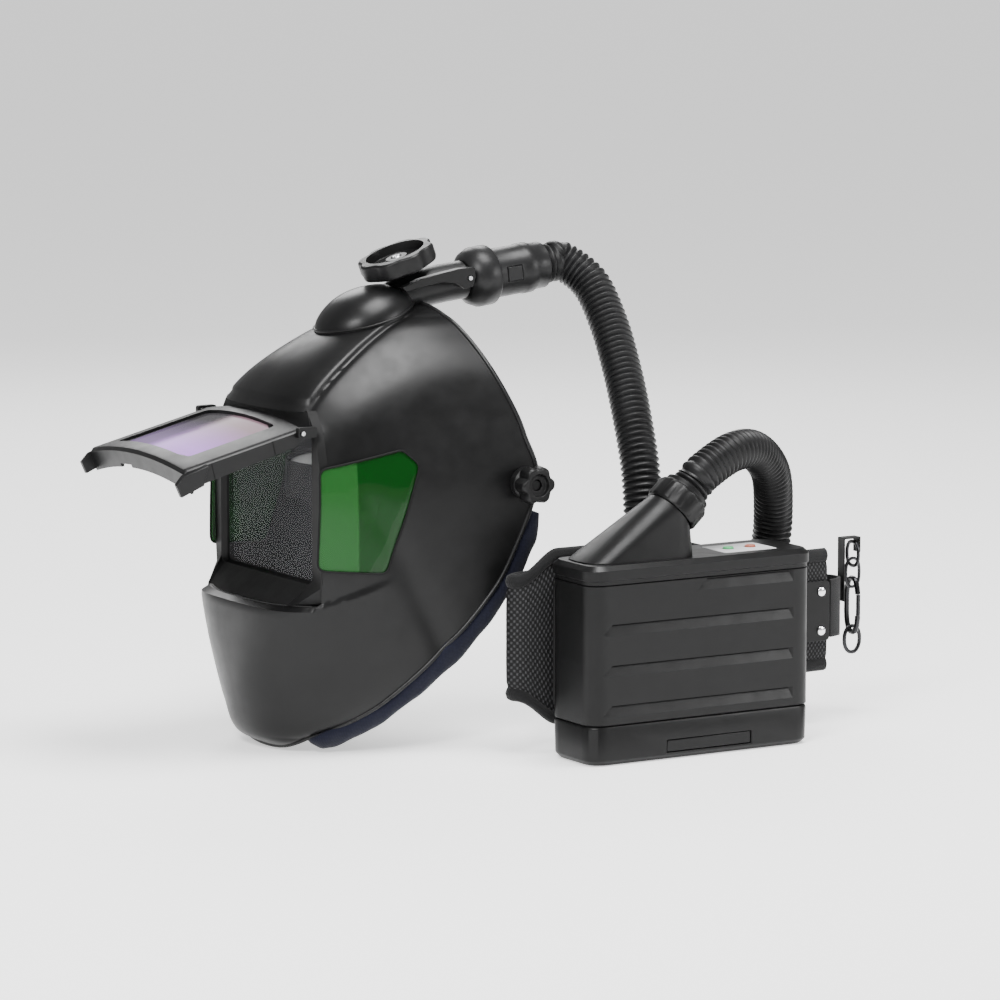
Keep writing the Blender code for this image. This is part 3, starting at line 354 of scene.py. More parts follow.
def weave(name):
    """Padded mesh: diamonds of raised thread that follow the cloth's own map."""
    m = Nodes(name, (0.004, 0.004, 0.004), 0.75)
    m.set("Specular IOR Level", 0.25)
    cloth = m.add("ShaderNodeTexCoord").outputs["UV"]
    split = m.add("ShaderNodeSeparateXYZ")
    m.link(cloth, split.inputs["Vector"])
    waves = []
    for direction, period in (("X", 0.0038), ("Y", 0.0052)):
        scaled = m.add("ShaderNodeMath", operation="MULTIPLY")
        m.link(split.outputs[direction], scaled.inputs[0])
        scaled.inputs[1].default_value = 2 * pi / period
        wave = m.add("ShaderNodeMath", operation="SINE")
        m.link(scaled.outputs["Value"], wave.inputs[0])
        waves.append(wave.outputs["Value"])
    cross = m.add("ShaderNodeMath", operation="MULTIPLY")
    m.link(waves[0], cross.inputs[0])
    m.link(waves[1], cross.inputs[1])
    level = m.spread(cross.outputs["Value"], 0.0, 1.0, -0.1, 0.8)
    m.link(m.mix(level, (0.0018, 0.0018, 0.0020), (0.038, 0.038, 0.040)), m.shader.inputs["Base Color"])
    m.bump(level, 0.8, 0.0008)
    return m.mat


CAD_LOOKS = {
    "cowl": ("crown_cowl",),
    "inner": ("inner_air_duct", "visor_frame", "headband", "crown_strap", "pivot_bolt_left",
              "pivot_bolt_right", "fan_scroll", "impeller"),
    "knob": ("airflow_knob", "pivot_knob_left", "pivot_knob_right", "ratchet_knob", "coupling_nut",
             "latch_lever", "hinge_bracket_left", "hinge_bracket_right"),
    "lid": ("flip_lid",),
    "connector": ("swivel_connector", "release_button", "inlet_elbow"),
    "housing": ("blower_housing", "blower_top_cover", "back_cover", "battery_pack", "battery_latch",
                "buckle_plug", "buckle_socket"),
    "steel": ("knob_screw", "lever_pin", "lid_hinge_pin", "fan_motor"),
    "rivet": ("rivet_1", "rivet_2", "rivet_3", "rivet_4"),
    "hook": ("d_ring", "hook_link", "snap_hook", "hook_gate", "swivel_ring"),
    "green": ("side_window_left", "side_window_right"),
    "visor": ("grinding_visor",),
    "violet": ("lid_cover_lens",),
    "filter": ("darkening_filter",),
    "panel": ("control_panel",),
    "green_button": ("speed_button",),
    "red_button": ("power_button",),
    "board": ("circuit_board",),
    "paper": ("particle_filter",),
    "sweat": ("sweatband",),
    "navy": ("face_seal",),
    "mesh": ("belt_pad",),
    "web": ("belt_webbing_left", "belt_webbing_right"),
    "leather": ("belt_patch", "ring_tab"),
    "shell": ("helmet_shell",),
    "hose": ("air_hose",),
}
SOFT_EDGE = {"housing": 0.0009, "knob": 0.0006, "lid": 0.0008, "connector": 0.0006, "leather": 0.0005,
             "inner": 0.0004}
FINE_EDGE = 0.0003
WELD_DISTANCE = 0.00002


def round_edges(obj, width, angle):
    """Bevel an object's edges that are sharper than an angle in degrees."""
    bevel = obj.modifiers.new("soft_edges", "BEVEL")
    bevel.width = width
    bevel.segments = 3
    bevel.limit_method = "ANGLE"
    bevel.angle_limit = radians(angle)
    bevel.harden_normals = False
    bevel.use_clamp_overlap = True


def twin(node, look):
    """Smooth-shaded copy of a CAD node with softened edges, shown in its place."""
    bm = bmesh.new()
    bm.from_mesh(node.data)
    bm.transform(node.matrix_world)
    bmesh.ops.remove_doubles(bm, verts=bm.verts, dist=WELD_DISTANCE)
    bmesh.ops.dissolve_limit(bm, angle_limit=radians(1), verts=bm.verts, edges=bm.edges)
    obj = piece(node.name + "_finish", bm, look, body_of(node)[0], sharp=34)
    round_edges(obj, SOFT_EDGE.get(look, FINE_EDGE), 34)
    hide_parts(node.name)


SHOWN_AS_PIECES = ("helmet_shell", "air_hose", "flip_lid", "lid_cover_lens", "face_seal", "belt_pad",
                   "belt_webbing_left", "belt_webbing_right", "side_window_left", "side_window_right",
                   "crown_cowl", "sweatband", "visor_frame", "grinding_visor", "blower_housing")


def dress_cad():
    """Give every CAD node its material, and a softened copy to each one that no modelled piece stands for."""
    bpy.context.view_layer.update()
    for look, names in CAD_LOOKS.items():
        for name in names:
            node = NODES[name]
            node.data.materials.clear()
            node.data.materials.append(MATS[look])
            if name not in SHOWN_AS_PIECES:
                twin(node, look)


# ---------------------------------------------------------------- small tools
def piece(name, bm, look, body="respirator", sharp=40):
    """Clean a mesh, shade it and hang it on a body of the frame."""
    bmesh.ops.remove_doubles(bm, verts=bm.verts, dist=1e-6)
    bmesh.ops.recalc_face_normals(bm, faces=bm.faces)
    for face in bm.faces:
        face.smooth = True
    for edge in bm.edges:
        if edge.is_manifold and edge.calc_face_angle(0) > radians(sharp):
            edge.smooth = False
    mesh = bpy.data.meshes.new(name)
    bm.to_mesh(mesh)
    bm.free()
    mesh.materials.append(MATS[look])
    obj = bpy.data.objects.new(name, mesh)
    bpy.context.scene.collection.objects.link(obj)
    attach(obj, body)
    return obj


def loft(rings, closed=False, caps=True):
    """Skin over rings of equal count; closed joins the last ring to the first."""
    bm = bmesh.new()
    loops = [[bm.verts.new(p) for p in ring] for ring in rings]
    size = len(rings[0])
    pairs = list(zip(loops, loops[1:]))
    if closed:
        pairs.append((loops[-1], loops[0]))
    for low, high in pairs:
        for i in range(size):
            j = (i + 1) % size
            bm.faces.new((low[i], low[j], high[j], high[i]))
    if caps and not closed:
        bm.faces.new(loops[0])
        bm.faces.new(loops[-1])
    return bm


def curve_through(points, per_span, closed=False):
    """Smooth curve that passes through every point."""
    points = [Vector(p) for p in points]
    count = len(points)
    result = []
    for i in range(count if closed else count - 1):
        if closed:
            p0, p1, p2, p3 = (points[(i + k) % count] for k in (-1, 0, 1, 2))
        else:
            p1, p2 = points[i], points[i + 1]
            p0 = points[i - 1] if i else 2 * p1 - p2
            p3 = points[i + 2] if i + 2 < count else 2 * p2 - p1
        for k in range(per_span):
            t = k / per_span
            result.append(0.5 * (2 * p1 + (p2 - p0) * t + (2 * p0 - 5 * p1 + 4 * p2 - p3) * t * t
                                 + (3 * p1 - p0 - 3 * p2 + p3) * t ** 3))
    if not closed:
        result.append(points[-1])
    return result


def evenly(path, step):
    """The same path with points a fixed distance apart."""
    result = [path[0]]
    left = step
    for a, b in zip(path, path[1:]):
        length = (b - a).length
        done = 0.0
        while length - done > left:
            done += left
            result.append(a.lerp(b, done / length))
            left = step
        left -= length - done
    result.append(path[-1])
    return result


# ---------------------------------------------------------------- hose
def hose_route():
    """From the swivel connector down behind the blower and back over it to the coupling nut."""
    first, last, axis, rise = CONNECTOR_END, COUPLING_END, CONNECTOR_AXIS, COUPLING_AXIS
    return [first, first + axis * 0.010, first + axis * 0.020, (0.130, 0.213, 0.376), (0.135, 0.190, 0.343),
            (0.133, 0.164, 0.303), (0.128, 0.139, 0.262), (0.125, 0.123, 0.226), (0.124, 0.1165, 0.190),
            (0.126, 0.1160, 0.150), (0.139, 0.1160, 0.112), (0.169, 0.1155, 0.087), (0.208, 0.1140, 0.090),
            (0.237, 0.1120, 0.117), (0.248, 0.1080, 0.152), (0.245, 0.0990, 0.186), (0.228, 0.0790, 0.221),
            (0.196, 0.0570, 0.2435), (0.163, 0.0415, 0.2455), last + rise * 0.020, last + rise * 0.008, last]


def air_hose():
    """Ribbed hose: narrow round ribs at an even pitch from end to end."""
    path = [Vector(p) - MIDDLE for p in curve_through(hose_route(), 8)]
    per_rib, sides = 8, 36
    line = evenly(path, HOSE_PITCH / per_rib)
    rings = []
    across = Vector((0, 1, 0))
    last = len(line) - 1
    for i, point in enumerate(line):
        ahead = (line[min(i + 2, last)] - line[max(i - 2, 0)]).normalized()
        across = (across - ahead * across.dot(ahead)).normalized()
        up = ahead.cross(across)
        along = i / per_rib
        wave = 0.5 + 0.5 * cos(2 * pi * along)
        radius = HOSE_RADIUS - RIB_HEIGHT + RIB_HEIGHT * wave ** 0.7
        rings.append([point + (across * cos(a) + up * sin(a)) * radius
                      for a in (2 * pi * k / sides for k in range(sides))])
    hose = piece("hose", loft(rings), "hose")
    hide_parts("air_hose")


# ---------------------------------------------------------------- helmet shell
def slice_at(t):
    """Shell slice at t, from 0 at the chin to 1 at the crown."""
    last = len(SHELL_SLICES) - 1
    place = t * last
    i = min(int(place), last - 1)
    f = place - i
    rows = [SHELL_SLICES[min(max(i + k, 0), last)] for k in (-1, 0, 1, 2)]
    values = [0.5 * (2 * b + (c - a) * f + (2 * a - 5 * b + 4 * c - d) * f * f
                     + (3 * b - a - 3 * c + d) * f ** 3)
              for a, b, c, d in zip(*rows)]
    if i == 0:
        values[3] = rows[2][3] * f ** 0.5
    if i == last - 1:
        values[3] = rows[1][3] * (1 - f) ** 0.5
    return values


def shell_point(row, angle):
    """Point of a slice: angle 0 is the front, a quarter turn either way is the rim."""
    height, front, rim, half, power, taper, set_back = row
    a, b = abs(cos(angle)), abs(sin(angle))
    reach = (a ** power + b ** power) ** (-1 / power)
    ahead, aside = a * reach, b * reach
    x = rim + (front - rim) * ahead + set_back * aside * aside * ahead
    offset = half * aside * (1 - taper * ahead)
    return Vector((x, HELMET_Y - offset if angle > 0 else HELMET_Y + offset, height))


def slice_at_height(height):
    """Shell slice at a height, found by halving."""
    low, high = 0.0, 1.0
    for _ in range(30):
        middle = (low + high) / 2
        if slice_at(middle)[0] < height:
            low = middle
        else:
            high = middle
    return slice_at(low)


def wall_offset(x, height):
    """Distance of the shell's side from the symmetry plane."""
    _, front, rim, half, power, taper, _ = slice_at_height(height)
    ahead = min(0.999, max(0.0, (x - rim) / (front - rim)))
    return half * (1 - ahead ** power) ** (1 / power) * (1 - taper * ahead)


def step(value, low, high):
    """Smooth step from 0 at low to 1 at high."""
    t = min(1.0, max(0.0, (value - low) / (high - low)))
    return t * t * (3 - 2 * t)


def relief(p):
    """How far the moulded surface stands out from the plain shell at a place."""
    offset = abs(p.y - HELMET_Y)
    lift = 0.0
    # raised panel on the crown between two creases that draw together towards the top
    crease = 0.0735 - 0.315 * (p.x + 0.19)
    if p.z > BROW:
        inside = step(crease - offset, -0.0010, 0.0032)
        lift += 0.0016 * inside * step(p.z, BROW + 0.006, BROW + 0.009) * step(-p.x, 0.045, 0.075)
        lift -= 0.0011 * exp(-((offset - crease - 0.0016) / 0.0024) ** 2) * step(-p.x, 0.045, 0.075)
    # chin stands out below a line that climbs under the side window
    line = SILL - 0.003 + 0.33 * max(0.0, p.x + 0.185)
    fade = step(-p.x, 0.105, 0.150)
    proud = 0.0022 + 0.0058 * step(-p.x, 0.165, 0.200)
    lift += proud * (1 - step(p.z, line - 0.0012, line + 0.0006)) * fade * step(p.z, 0.02, 0.09)
    # shallow scoop behind the window, down the cheek
    spine = -0.112 + 0.54 * (0.172 - p.z)
    reach = step(p.z, 0.045, 0.10) * (1 - step(p.z, 0.19, 0.25))
    lift -= 0.0024 * exp(-((p.x - spine) / 0.013) ** 2) * reach
    return lift


def shell_grid():
    """Rows of points over the shell, plain and with the moulded relief raised."""
    rows = []
    for j in range(SHELL_ROWS + 1):
        row = slice_at(0.5 - 0.5 * cos(pi * j / SHELL_ROWS))
        rows.append([shell_point(row, pi * (i / SHELL_COLUMNS - 0.5)) for i in range(SHELL_COLUMNS + 1)])
    centre = Vector((-0.060, HELMET_Y, 0.195))
    last = len(rows) - 1
    raised = []
    for j, row in enumerate(rows):
        line = []
        for i, p in enumerate(row):
            along = row[min(i + 1, SHELL_COLUMNS)] - row[max(i - 1, 0)]
            up = rows[min(j + 1, last)][i] - rows[max(j - 1, 0)][i]
            normal = along.cross(up)
            if normal.length < 1e-12:
                normal = p - centre
            normal.normalize()
            if normal.dot(p - centre) < 0:
                normal = -normal
            line.append(p + normal * relief(p))
        raised.append(line)
    return rows, raised


def temporary(bm):
    """Object for a cutter, removed after its cut."""
    mesh = bpy.data.meshes.new("cutter")
    bmesh.ops.recalc_face_normals(bm, faces=bm.faces)
    bm.to_mesh(mesh)
    bm.free()
    obj = bpy.data.objects.new("cutter", mesh)
    bpy.context.scene.collection.objects.link(obj)
    return obj


def carve(obj, cutters, solver="MANIFOLD", sharp=32):
    """Cut shapes out of a piece for good."""
    helpers = []
    for bm in cutters:
        helper = temporary(bm)
        modifier = obj.modifiers.new("cut", "BOOLEAN")
        modifier.operation = "DIFFERENCE"
        modifier.solver = solver
        modifier.object = helper
        helpers.append(helper)
    bpy.context.view_layer.update()
    solved = bpy.data.meshes.new_from_object(obj.evaluated_get(bpy.context.evaluated_depsgraph_get()))
    obj.modifiers.clear()
    obj.data = solved
    for helper in helpers:
        bpy.data.objects.remove(helper)
    for poly in solved.polygons:
        poly.use_smooth = True
    solved.set_sharp_from_angle(angle=radians(sharp))


def rounded(outline, radius, steps=6):
    """The same outline with its corners rounded off."""
    result = []
    count = len(outline)
    for i in range(count):
        corner = Vector(outline[i])
        back = (Vector(outline[i - 1]) - corner).normalized()
        ahead = (Vector(outline[(i + 1) % count]) - corner).normalized()
        half = back.angle(ahead) / 2
        reach = radius / max(0.05, abs(sin(half) / cos(half)))
        start, end = corner + back * reach, corner + ahead * reach
        for k in range(steps + 1):
            t = k / steps
            result.append((start * (1 - t) ** 2 + corner * 2 * t * (1 - t) + end * t * t)[:])
    return result


def rectangle(x0, x1, y0, y1):
    return ((x0, y0), (x1, y0), (x1, y1), (x0, y1))


def prism(points, low, high):
    """Straight solid between two placings of one outline."""
    return loft([[at(*low(*p)) for p in points], [at(*high(*p)) for p in points]])


def shift(points):
    return [p - MIDDLE for p in points]


def helmet_shell():
    """Thin shell with its moulded relief, cut for the front, the side windows and the air inlet."""
    rows, raised = shell_grid()
    middle = Vector((-0.030, HELMET_Y, 0.195))
    shrink = [1 - SHELL_WALL / reach for reach in (0.170, 0.118, 0.170)]
    inner = [[middle + Vector([c * k for c, k in zip(p - middle, shrink)]) for p in row[::3]] for row in rows]
    inner = [[row[min(k // 3, len(row) - 1)].lerp(row[min(k // 3 + 1, len(row) - 1)], (k % 3) / 3)
              for k in range(SHELL_COLUMNS + 1)] for row in inner]
    loops = [shift(row) + shift(back[::-1]) for row, back in zip(raised, inner)]
    shell = piece("shell", loft(loops, caps=False), "shell")
    edge = ((0.0890, SILL), (OPENING_HALF, SILL + 0.020), (OPENING_HALF, BROW - 0.026),
            (0.0885, BROW - 0.009), (0.0820, BROW))
    opening = [(HELMET_Y + y, z) for y, z in edge] + [(HELMET_Y - y, z) for y, z in edge[::-1]]
    window = rounded(SIDE_WINDOW, WINDOW_CORNER)
    elbow = curve_through([(x, HELMET_Y, z) for x, z in INLET_ROUTE], 3)
    turns = [2 * pi * k / 32 for k in range(32)]
    circle = [Vector((cos(a) * INLET_RADIUS, sin(a) * INLET_RADIUS, 0)) for a in turns]
    tube = [[p + c - MIDDLE for c in circle] for p in elbow]
    carve(shell, [prism(opening, lambda y, z: (-0.26, y, z), lambda y, z: (PANEL_BACK, y, z)),
                  prism(window, lambda x, z: (x, HELMET_Y - 0.14, z), lambda x, z: (x, HELMET_Y + 0.14, z)),
                  loft(tube)])
    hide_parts("helmet_shell")
    return raised


def closed_bead(path, radius, sides):
    """Round bead around a closed path."""
    rings = []
    count = len(path)
    out = None
    for i in range(count):
        ahead = (path[(i + 1) % count] - path[i - 1]).normalized()
        if out is None:
            out = ahead.orthogonal().normalized()
        out = (out - ahead * out.dot(ahead)).normalized()
        side = ahead.cross(out)
        rings.append([path[i] + (out * cos(a) + side * sin(a)) * radius
                      for a in (2 * pi * k / sides for k in range(sides))])
    return loft(rings, closed=True)


def rim_bead(raised):
    """Rolled edge around the shell's open back, coloured a lighter grey than the shell as a painted highlight
    along the edge.
    """
    near = [row[-1] for row in raised[1:-1]]
    far = [row[0] for row in raised[1:-1]]
    path = shift([raised[0][0]] + near + [raised[-1][0]] + far[::-1])
    piece("rim_bead", closed_bead(path, RIM_BEAD, 10), "rim")


def front_panel():
    """Recessed panel behind the flip lid: jambs around the clear visor, and a sill sloping to the chin."""
    def ring(half, low, high, x, sill=0.0, radius=0.004):
        places = []
        for y, z in dense(rounded(rectangle(-half, half, low, high), radius), 12):
            depth = x - sill * (1 - step(z, SILL - 0.002, SILL + 0.008))
            limit = wall_offset(depth, z) - 0.0032
            places.append(at(depth, HELMET_Y + max(-limit, min(limit, y)), z))
        return places
    edge, foot, head = OPENING_HALF + 0.0005, SILL - 0.002, BROW + 0.001
    rings = [ring(edge, foot, head, PANEL_BACK), ring(edge, foot, head, -0.1745, 0.0215)]
    for half, low, high, x in ((0.0800, 0.1440, 0.2745, -0.1760), (0.0790, 0.1450, 0.2735, -0.1755),
                               (0.0762, 0.1465, 0.2720, -0.1720), (0.0758, 0.1467, 0.2718, -0.1702)):
        rings.append(ring(half, low, high, x, 0.0, 0.006))
    panel = piece("front_panel", loft(rings, closed=True), "inner", sharp=25)
    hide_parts("visor_frame")


def dense(outline, steps=6):
    """More points on the long straight sides of an outline."""
    result = []
    for i, p in enumerate(outline):
        q = outline[(i + 1) % len(outline)]
        if (Vector(q) - Vector(p)).length > 0.02:
            result += [(p[0] + (q[0] - p[0]) * k / steps, p[1] + (q[1] - p[1]) * k / steps)
                       for k in range(steps)]
        else:
            result.append(p)
    return result


def side_windows():
    """Thin panes that follow the shell's sides, each edged by a bead coloured near-black as painted shadow in
    the seam.
    """
    outline = dense(rounded(SIDE_WINDOW, WINDOW_CORNER), 8)
    centre = sum((Vector(p) for p in outline), Vector((0, 0))) / len(outline)
    for tag, side in (("left", -1), ("right", 1)):
        def wall(p, inset):
            base = Vector((p[0], HELMET_Y + side * wall_offset(*p), p[1]))
            return base + Vector((0, side, 0)) * (relief(base) * 0.5 - inset) - MIDDLE
        shares = (0.03, 0.25, 0.45, 0.65, 0.82, 0.93, 0.99)
        rings = [[wall(centre + (Vector(p) - centre) * s, 0.0004 + 0.0006 * (s > 0.95)) for p in outline]
                 for s in shares]
        rings += [[wall(centre + (Vector(p) - centre) * s, 0.0028) for p in outline] for s in shares[::-1]]
        window = piece("window_" + tag, loft(rings), "green")
        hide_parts("side_window_" + tag)
        # bead in the seam around the pane, coloured near-black as painted seam shadow
        bead = [wall(p, 0.0) for p in outline]
        piece("window_seam_shadow_bead_" + tag, closed_bead(bead, SEAM_BEAD, 8), "gap")


def face_seal():
    """Padded cloth seal from ear to ear under the chin, gathered into soft folds."""
    rim = []
    for k in range(40):
        height = 0.200 - (0.200 - 0.016) * k / 39
        _, _, x, half, *_ = slice_at_height(height)
        rim.append(Vector((x, half, height)))
    path = []
    for i, p in enumerate(rim):
        ahead = rim[min(i + 1, len(rim) - 1)] - rim[max(i - 1, 0)]
        out = Vector((-ahead.z, 0, ahead.x)).normalized()
        path.append(p + out * 0.0085 - Vector((0, 0.0045, 0)))
    path += [Vector((-0.152, 0.040, 0.0105)), Vector((-0.158, 0.0, 0.0095))]
    near = [Vector((p.x, HELMET_Y - p.y, p.z)) for p in path]
    far = [Vector((p.x, HELMET_Y + p.y, p.z)) for p in reversed(path[:-1])]
    route = evenly(curve_through(near + far, 3), 0.0035)
    rings = []
    last = len(route) - 1
    for i, p in enumerate(route):
        ahead = (route[min(i + 2, last)] - route[max(i - 2, 0)]).normalized()
        out = Vector((1, 0, -0.3)).cross(ahead).cross(ahead).normalized()
        if out.x < 0:
            out = -out
        side = ahead.cross(out)
        swell = 1.0 + 0.07 * sin(i * 0.52) + 0.10 * sin(i * 0.17 + 1.0)
        end = min(1.0, 0.35 + min(i, last - i) / 10)
        ring = []
        for k in range(20):
            a = 2 * pi * k / 20
            crimp = 1 + 0.07 * sin(i * 1.1 + 3 * a)
            place = p + out * (cos(a) * 0.0098 * swell * end) + side * (sin(a) * 0.0052 * crimp * end)
            ring.append(Vector((place.x, place.y, max(place.z, 0.0008))) - MIDDLE)
        rings.append(ring)
    seal = piece("face_seal_cloth", loft(rings), "navy", sharp=80)
    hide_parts("face_seal")
    return seal


# ---------------------------------------------------------------- flip lid
def bow(y):
    """Height of the lid's crown at a distance from its middle."""
    return BOW * (1 - (y / LID_HALF) ** 2) - 0.002


def on_lid(x, y, z):
    """Place in the frame of a point measured from the hinge, on the bowed lid at rest."""
    turn = Matrix.Rotation(-LID_DROP, 3, "Y")
    return Vector(HINGE) + turn @ Vector((x, y, z + bow(y))) - MIDDLE


def lid_frame():
    """Bowed lid: raised border, side skirts and a front lip, cut for the lens and its seat."""
    steps = 44
    spots = [-LID_HALF, -LID_HALF + 0.0006, -LID_HALF + 0.0025]
    spots += [-LID_HALF + 0.005 + 2 * (LID_HALF - 0.005) * k / steps for k in range(steps + 1)]
    spots += [LID_HALF - 0.0025, LID_HALF - 0.0006, LID_HALF]
    front = -LID_LENGTH
    rings = []
    for y in spots:
        edge = LID_HALF - abs(y)
        soft = 0.0014 * (1 - min(1.0, edge / 0.0025)) ** 2
        skirt = 0.0075 if edge < 0.0056 else 0.0
        top = 0.0042 - soft
        low = -0.0150 + 0.3 * bow(y)
        rings.append([on_lid(*p) for p in (
            (0.0035, y, -0.0040), (0.0048, y, 0.0), (0.0040, y, top - 0.0008), (0.0030, y, top),
            (-0.0060, y, top), (-0.0960, y, top), (front + 0.0030, y, top), (front + 0.0012, y, top - 0.0003),
            (front, y, top - 0.0014), (front - 0.0012, y, top - 0.0030), (front + 0.0010, y, low),
            (front + 0.0016, y, low - 0.0004), (front + 0.0034, y, low - 0.0004),
            (front + 0.0060, y, -0.0045 - skirt), (-0.0960, y, -0.0040 - skirt),
            (-0.0060, y, -0.0040 - skirt * 0.6))])
    lid = piece("lid_shell", loft(rings), "lid", "lid", sharp=28)
    glass = rounded(rectangle(-0.0890, -0.0130, -0.0555, 0.0555), 0.005)
    ledge = rounded(rectangle(-0.0940, -0.0080, -0.0615, 0.0615), 0.006)
    cutters = []
    for outline, low, high in ((glass, -0.03, 0.03), (ledge, 0.0018, 0.03)):
        cutters.append(loft([[on_lid(x, y, z) for x, y in dense(outline, 16)] for z in (low, high)]))
    notch = ((-0.125, -0.0300), (-0.100, -0.0300), (-0.100, -0.0105), (-0.125, -0.0105))
    cutters.append(loft([[on_lid(x, y, z) for x, z in notch] for y in (0.014, 0.034)]))
    carve(lid, cutters, "EXACT")
    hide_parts("flip_lid")
    lid_tabs()


def lid_tabs():
    """Tabs at both ends of the front lip, and thin near-black strips across the side skirts as painted seam
    shadow.
    """
    outline = ((-0.0880, 0.0030), (-0.1120, 0.0010), (-0.1200, -0.0045), (-0.1180, -0.0160),
               (-0.0960, -0.0125))
    for tag, side in (("left", -1), ("right", 1)):
        inner, outer = side * (LID_HALF - 0.0010), side * (LID_HALF + 0.0032)
        rings = [[on_lid(x, inner, z + 0.0006) for x, z in outline],
                 [on_lid(x, outer, z * 0.92) for x, z in outline]]
        tab = piece("lid_tab_" + tag, loft(rings), "lid", "lid")
        tab.modifiers.new("weld", "WELD").merge_threshold = WELD_DISTANCE
        round_edges(tab, 0.0005, 38)
        # thin strips across the skirts, coloured near-black as painted shadow in the seams
        for k, x in enumerate((-0.084, -0.026)):
            proud, sunk = side * (LID_HALF + 0.0003), side * 0.084
            corners = ((x, proud), (x + 0.0007, proud), (x + 0.0007, sunk), (x, sunk))
            rings = [[on_lid(a, b, c) for a, b in corners] for c in (-0.0105, 0.0030)]
            piece(f"lid_seam_{tag}_{k}", loft(rings), "gap", "lid")


def lid_lens():
    """Cover lens that lies in the lid's seat and follows its bow."""
    outline = dense(rounded(rectangle(-0.0935, -0.0085, -0.0608, 0.0608), 0.005), 14)
    rings = []
    centre = Vector((-0.0510, 0.0))
    shares = (0.02, 0.2, 0.4, 0.6, 0.8, 1.0)
    for level, order in ((0.0016, shares), (-0.0004, shares[::-1])):
        for s in order:
            rings.append([on_lid(*(centre + (Vector(p) - centre) * s), level) for p in outline])
    lens = piece("lens", loft(rings), "violet", "lid")
    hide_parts("lid_cover_lens")


def crown_cowl():
    """Smooth teardrop over the inlet, blunt in front and narrow behind, with a bead around its foot."""
    sides, rings_out = 72, 22
    front, back, half, rise = -0.124, -0.038, 0.038, 0.0195
    middle = front + 0.040
    rings = []
    for k in range(rings_out + 1):
        share = k / rings_out
        ring = []
        for i in range(sides):
            a = 2 * pi * i / sides
            reach = (middle - front) if cos(a) < 0 else (back - middle)
            x, offset = middle + share * reach * cos(a), share * half * sin(a)
            lift = rise * max(0.0, 1 - share ** 2.6) ** 0.62
            ring.append(at(x, HELMET_Y + offset, crown_height(x, offset) + 0.0033 + lift))
        rings.append(ring)
    foot = [Vector((p.x, p.y, p.z - 0.0032)) for p in rings[-1]]
    cowl = piece("cowl", loft(rings + [foot], caps=False), "cowl", sharp=50)
    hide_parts("crown_cowl")
    piece("cowl_bead", closed_bead(rings[-1], COWL_BEAD, 8), "cowl")


def crown_height(x, offset):
    """Height of the shell's top above a place in plan."""
    low, high = 0.6, 1.0
    for _ in range(24):
        middle = (low + high) / 2
        _, front, rim, half, power, taper, _ = slice_at(middle)
        ahead = max(0.0, (x - rim) / (front - rim - 1e-9))
        aside = abs(offset) / (half * (1 - taper * min(ahead, 1)) + 1e-9)
        if ahead ** power + aside ** power < 1:
            low = middle
        else:
            high = middle
    return slice_at(low)[0]


def visor():
    """Clear flat visor behind the front panel."""
    outline = rounded(rectangle(-0.0785, 0.0785, 0.1395, 0.2765), 0.008)
    glass = piece("visor_glass", prism(outline, lambda y, z: (-0.1700, HELMET_Y + y, z),
                                       lambda y, z: (-0.1676, HELMET_Y + y, z)), "visor")
    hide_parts("grinding_visor")


def sweatband():
    """Soft towelling pad on the front of the headband."""
    centre_x, half_long, half_wide = -0.050, 0.096, 0.077
    rings = []
    count = 60
    for i in range(count + 1):
        a = 2 * pi * (i / count - 0.5) * 18 / 48
        end = min(1.0, 0.3 + min(i, count - i) / 4)
        ring = []
        for k in range(16):
            b = 2 * pi * k / 16
            deep = 0.0034 - cos(b) * 0.0031 * end
            high = 0.222 + sin(b) * 0.0125 * (abs(sin(b)) ** -0.4 if abs(sin(b)) > 0.01 else 1) * end
            ring.append(at(centre_x - (half_long - deep) * cos(a),
                           HELMET_Y + (half_wide - deep) * sin(a), high))
        rings.append(ring)
    pad = piece("sweat_pad", loft(rings), "sweat", "headgear", sharp=80)
    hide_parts("sweatband")
    return pad


# ---------------------------------------------------------------- belt
def band(path, section, heights):
    """Band along a path with its own cloth map; section gives (out, up share) pairs around it."""
    bm = bmesh.new()
    layer = bm.loops.layers.uv.new("cloth")
    loops = []
    last = len(path) - 1
    along = 0.0
    marks = []
    for i, p in enumerate(path):
        if i:
            along += (p - path[i - 1]).length
        ahead = (path[min(i + 1, last)] - path[max(i - 1, 0)]).normalized()
        out = Vector((ahead.y, -ahead.x, 0))
        loops.append([bm.verts.new(p + out * o + Vector((0, 0, heights[i] / 2 * u))) for o, u in section])
        marks.append(along)
    size = len(section)
    girth = [0.0]
    for k in range(size):
        (o0, u0), (o1, u1) = section[k], section[(k + 1) % size]
        girth.append(girth[-1] + sqrt((o1 - o0) ** 2 + ((u1 - u0) * heights[0] / 2) ** 2))
    for i in range(last):
        for k in range(size):
            j = (k + 1) % size
            face = bm.faces.new((loops[i][k], loops[i][j], loops[i + 1][j], loops[i + 1][k]))
            for loop, (s, t) in zip(face.loops, ((marks[i], girth[k]), (marks[i], girth[k + 1]),
                                                  (marks[i + 1], girth[k + 1]), (marks[i + 1], girth[k]))):
                loop[layer].uv = (s, t)
    bm.faces.new(loops[0])
    bm.faces.new(loops[-1])
    return bm


def pad_section():
    """Section of the pad as (out, up share) pairs: crowned, with a sewn channel inside each edge."""
    half, count = 0.0042, 22
    section = []
    for side in (1, -1):
        for k in range(count + 1):
            u = (-1 + 2 * k / count) * side
            channel = 1 - 0.35 * exp(-((abs(u) - 0.80) / 0.035) ** 2)
            puff = half * (1 - abs(u) ** 6) ** 0.5 * channel
            section.append((side * max(puff, 0.0004), u))
    return section


def pad_height(p):
    """Height of the pad at a drawn place: tall at its left end, lower towards the right."""
    start = -0.020 if p.y < 0.0915 else 0.020
    return 0.104 + 0.042 * step(p.x, start, start + 0.036) * (1 - step(p.x, 0.110, 0.225))


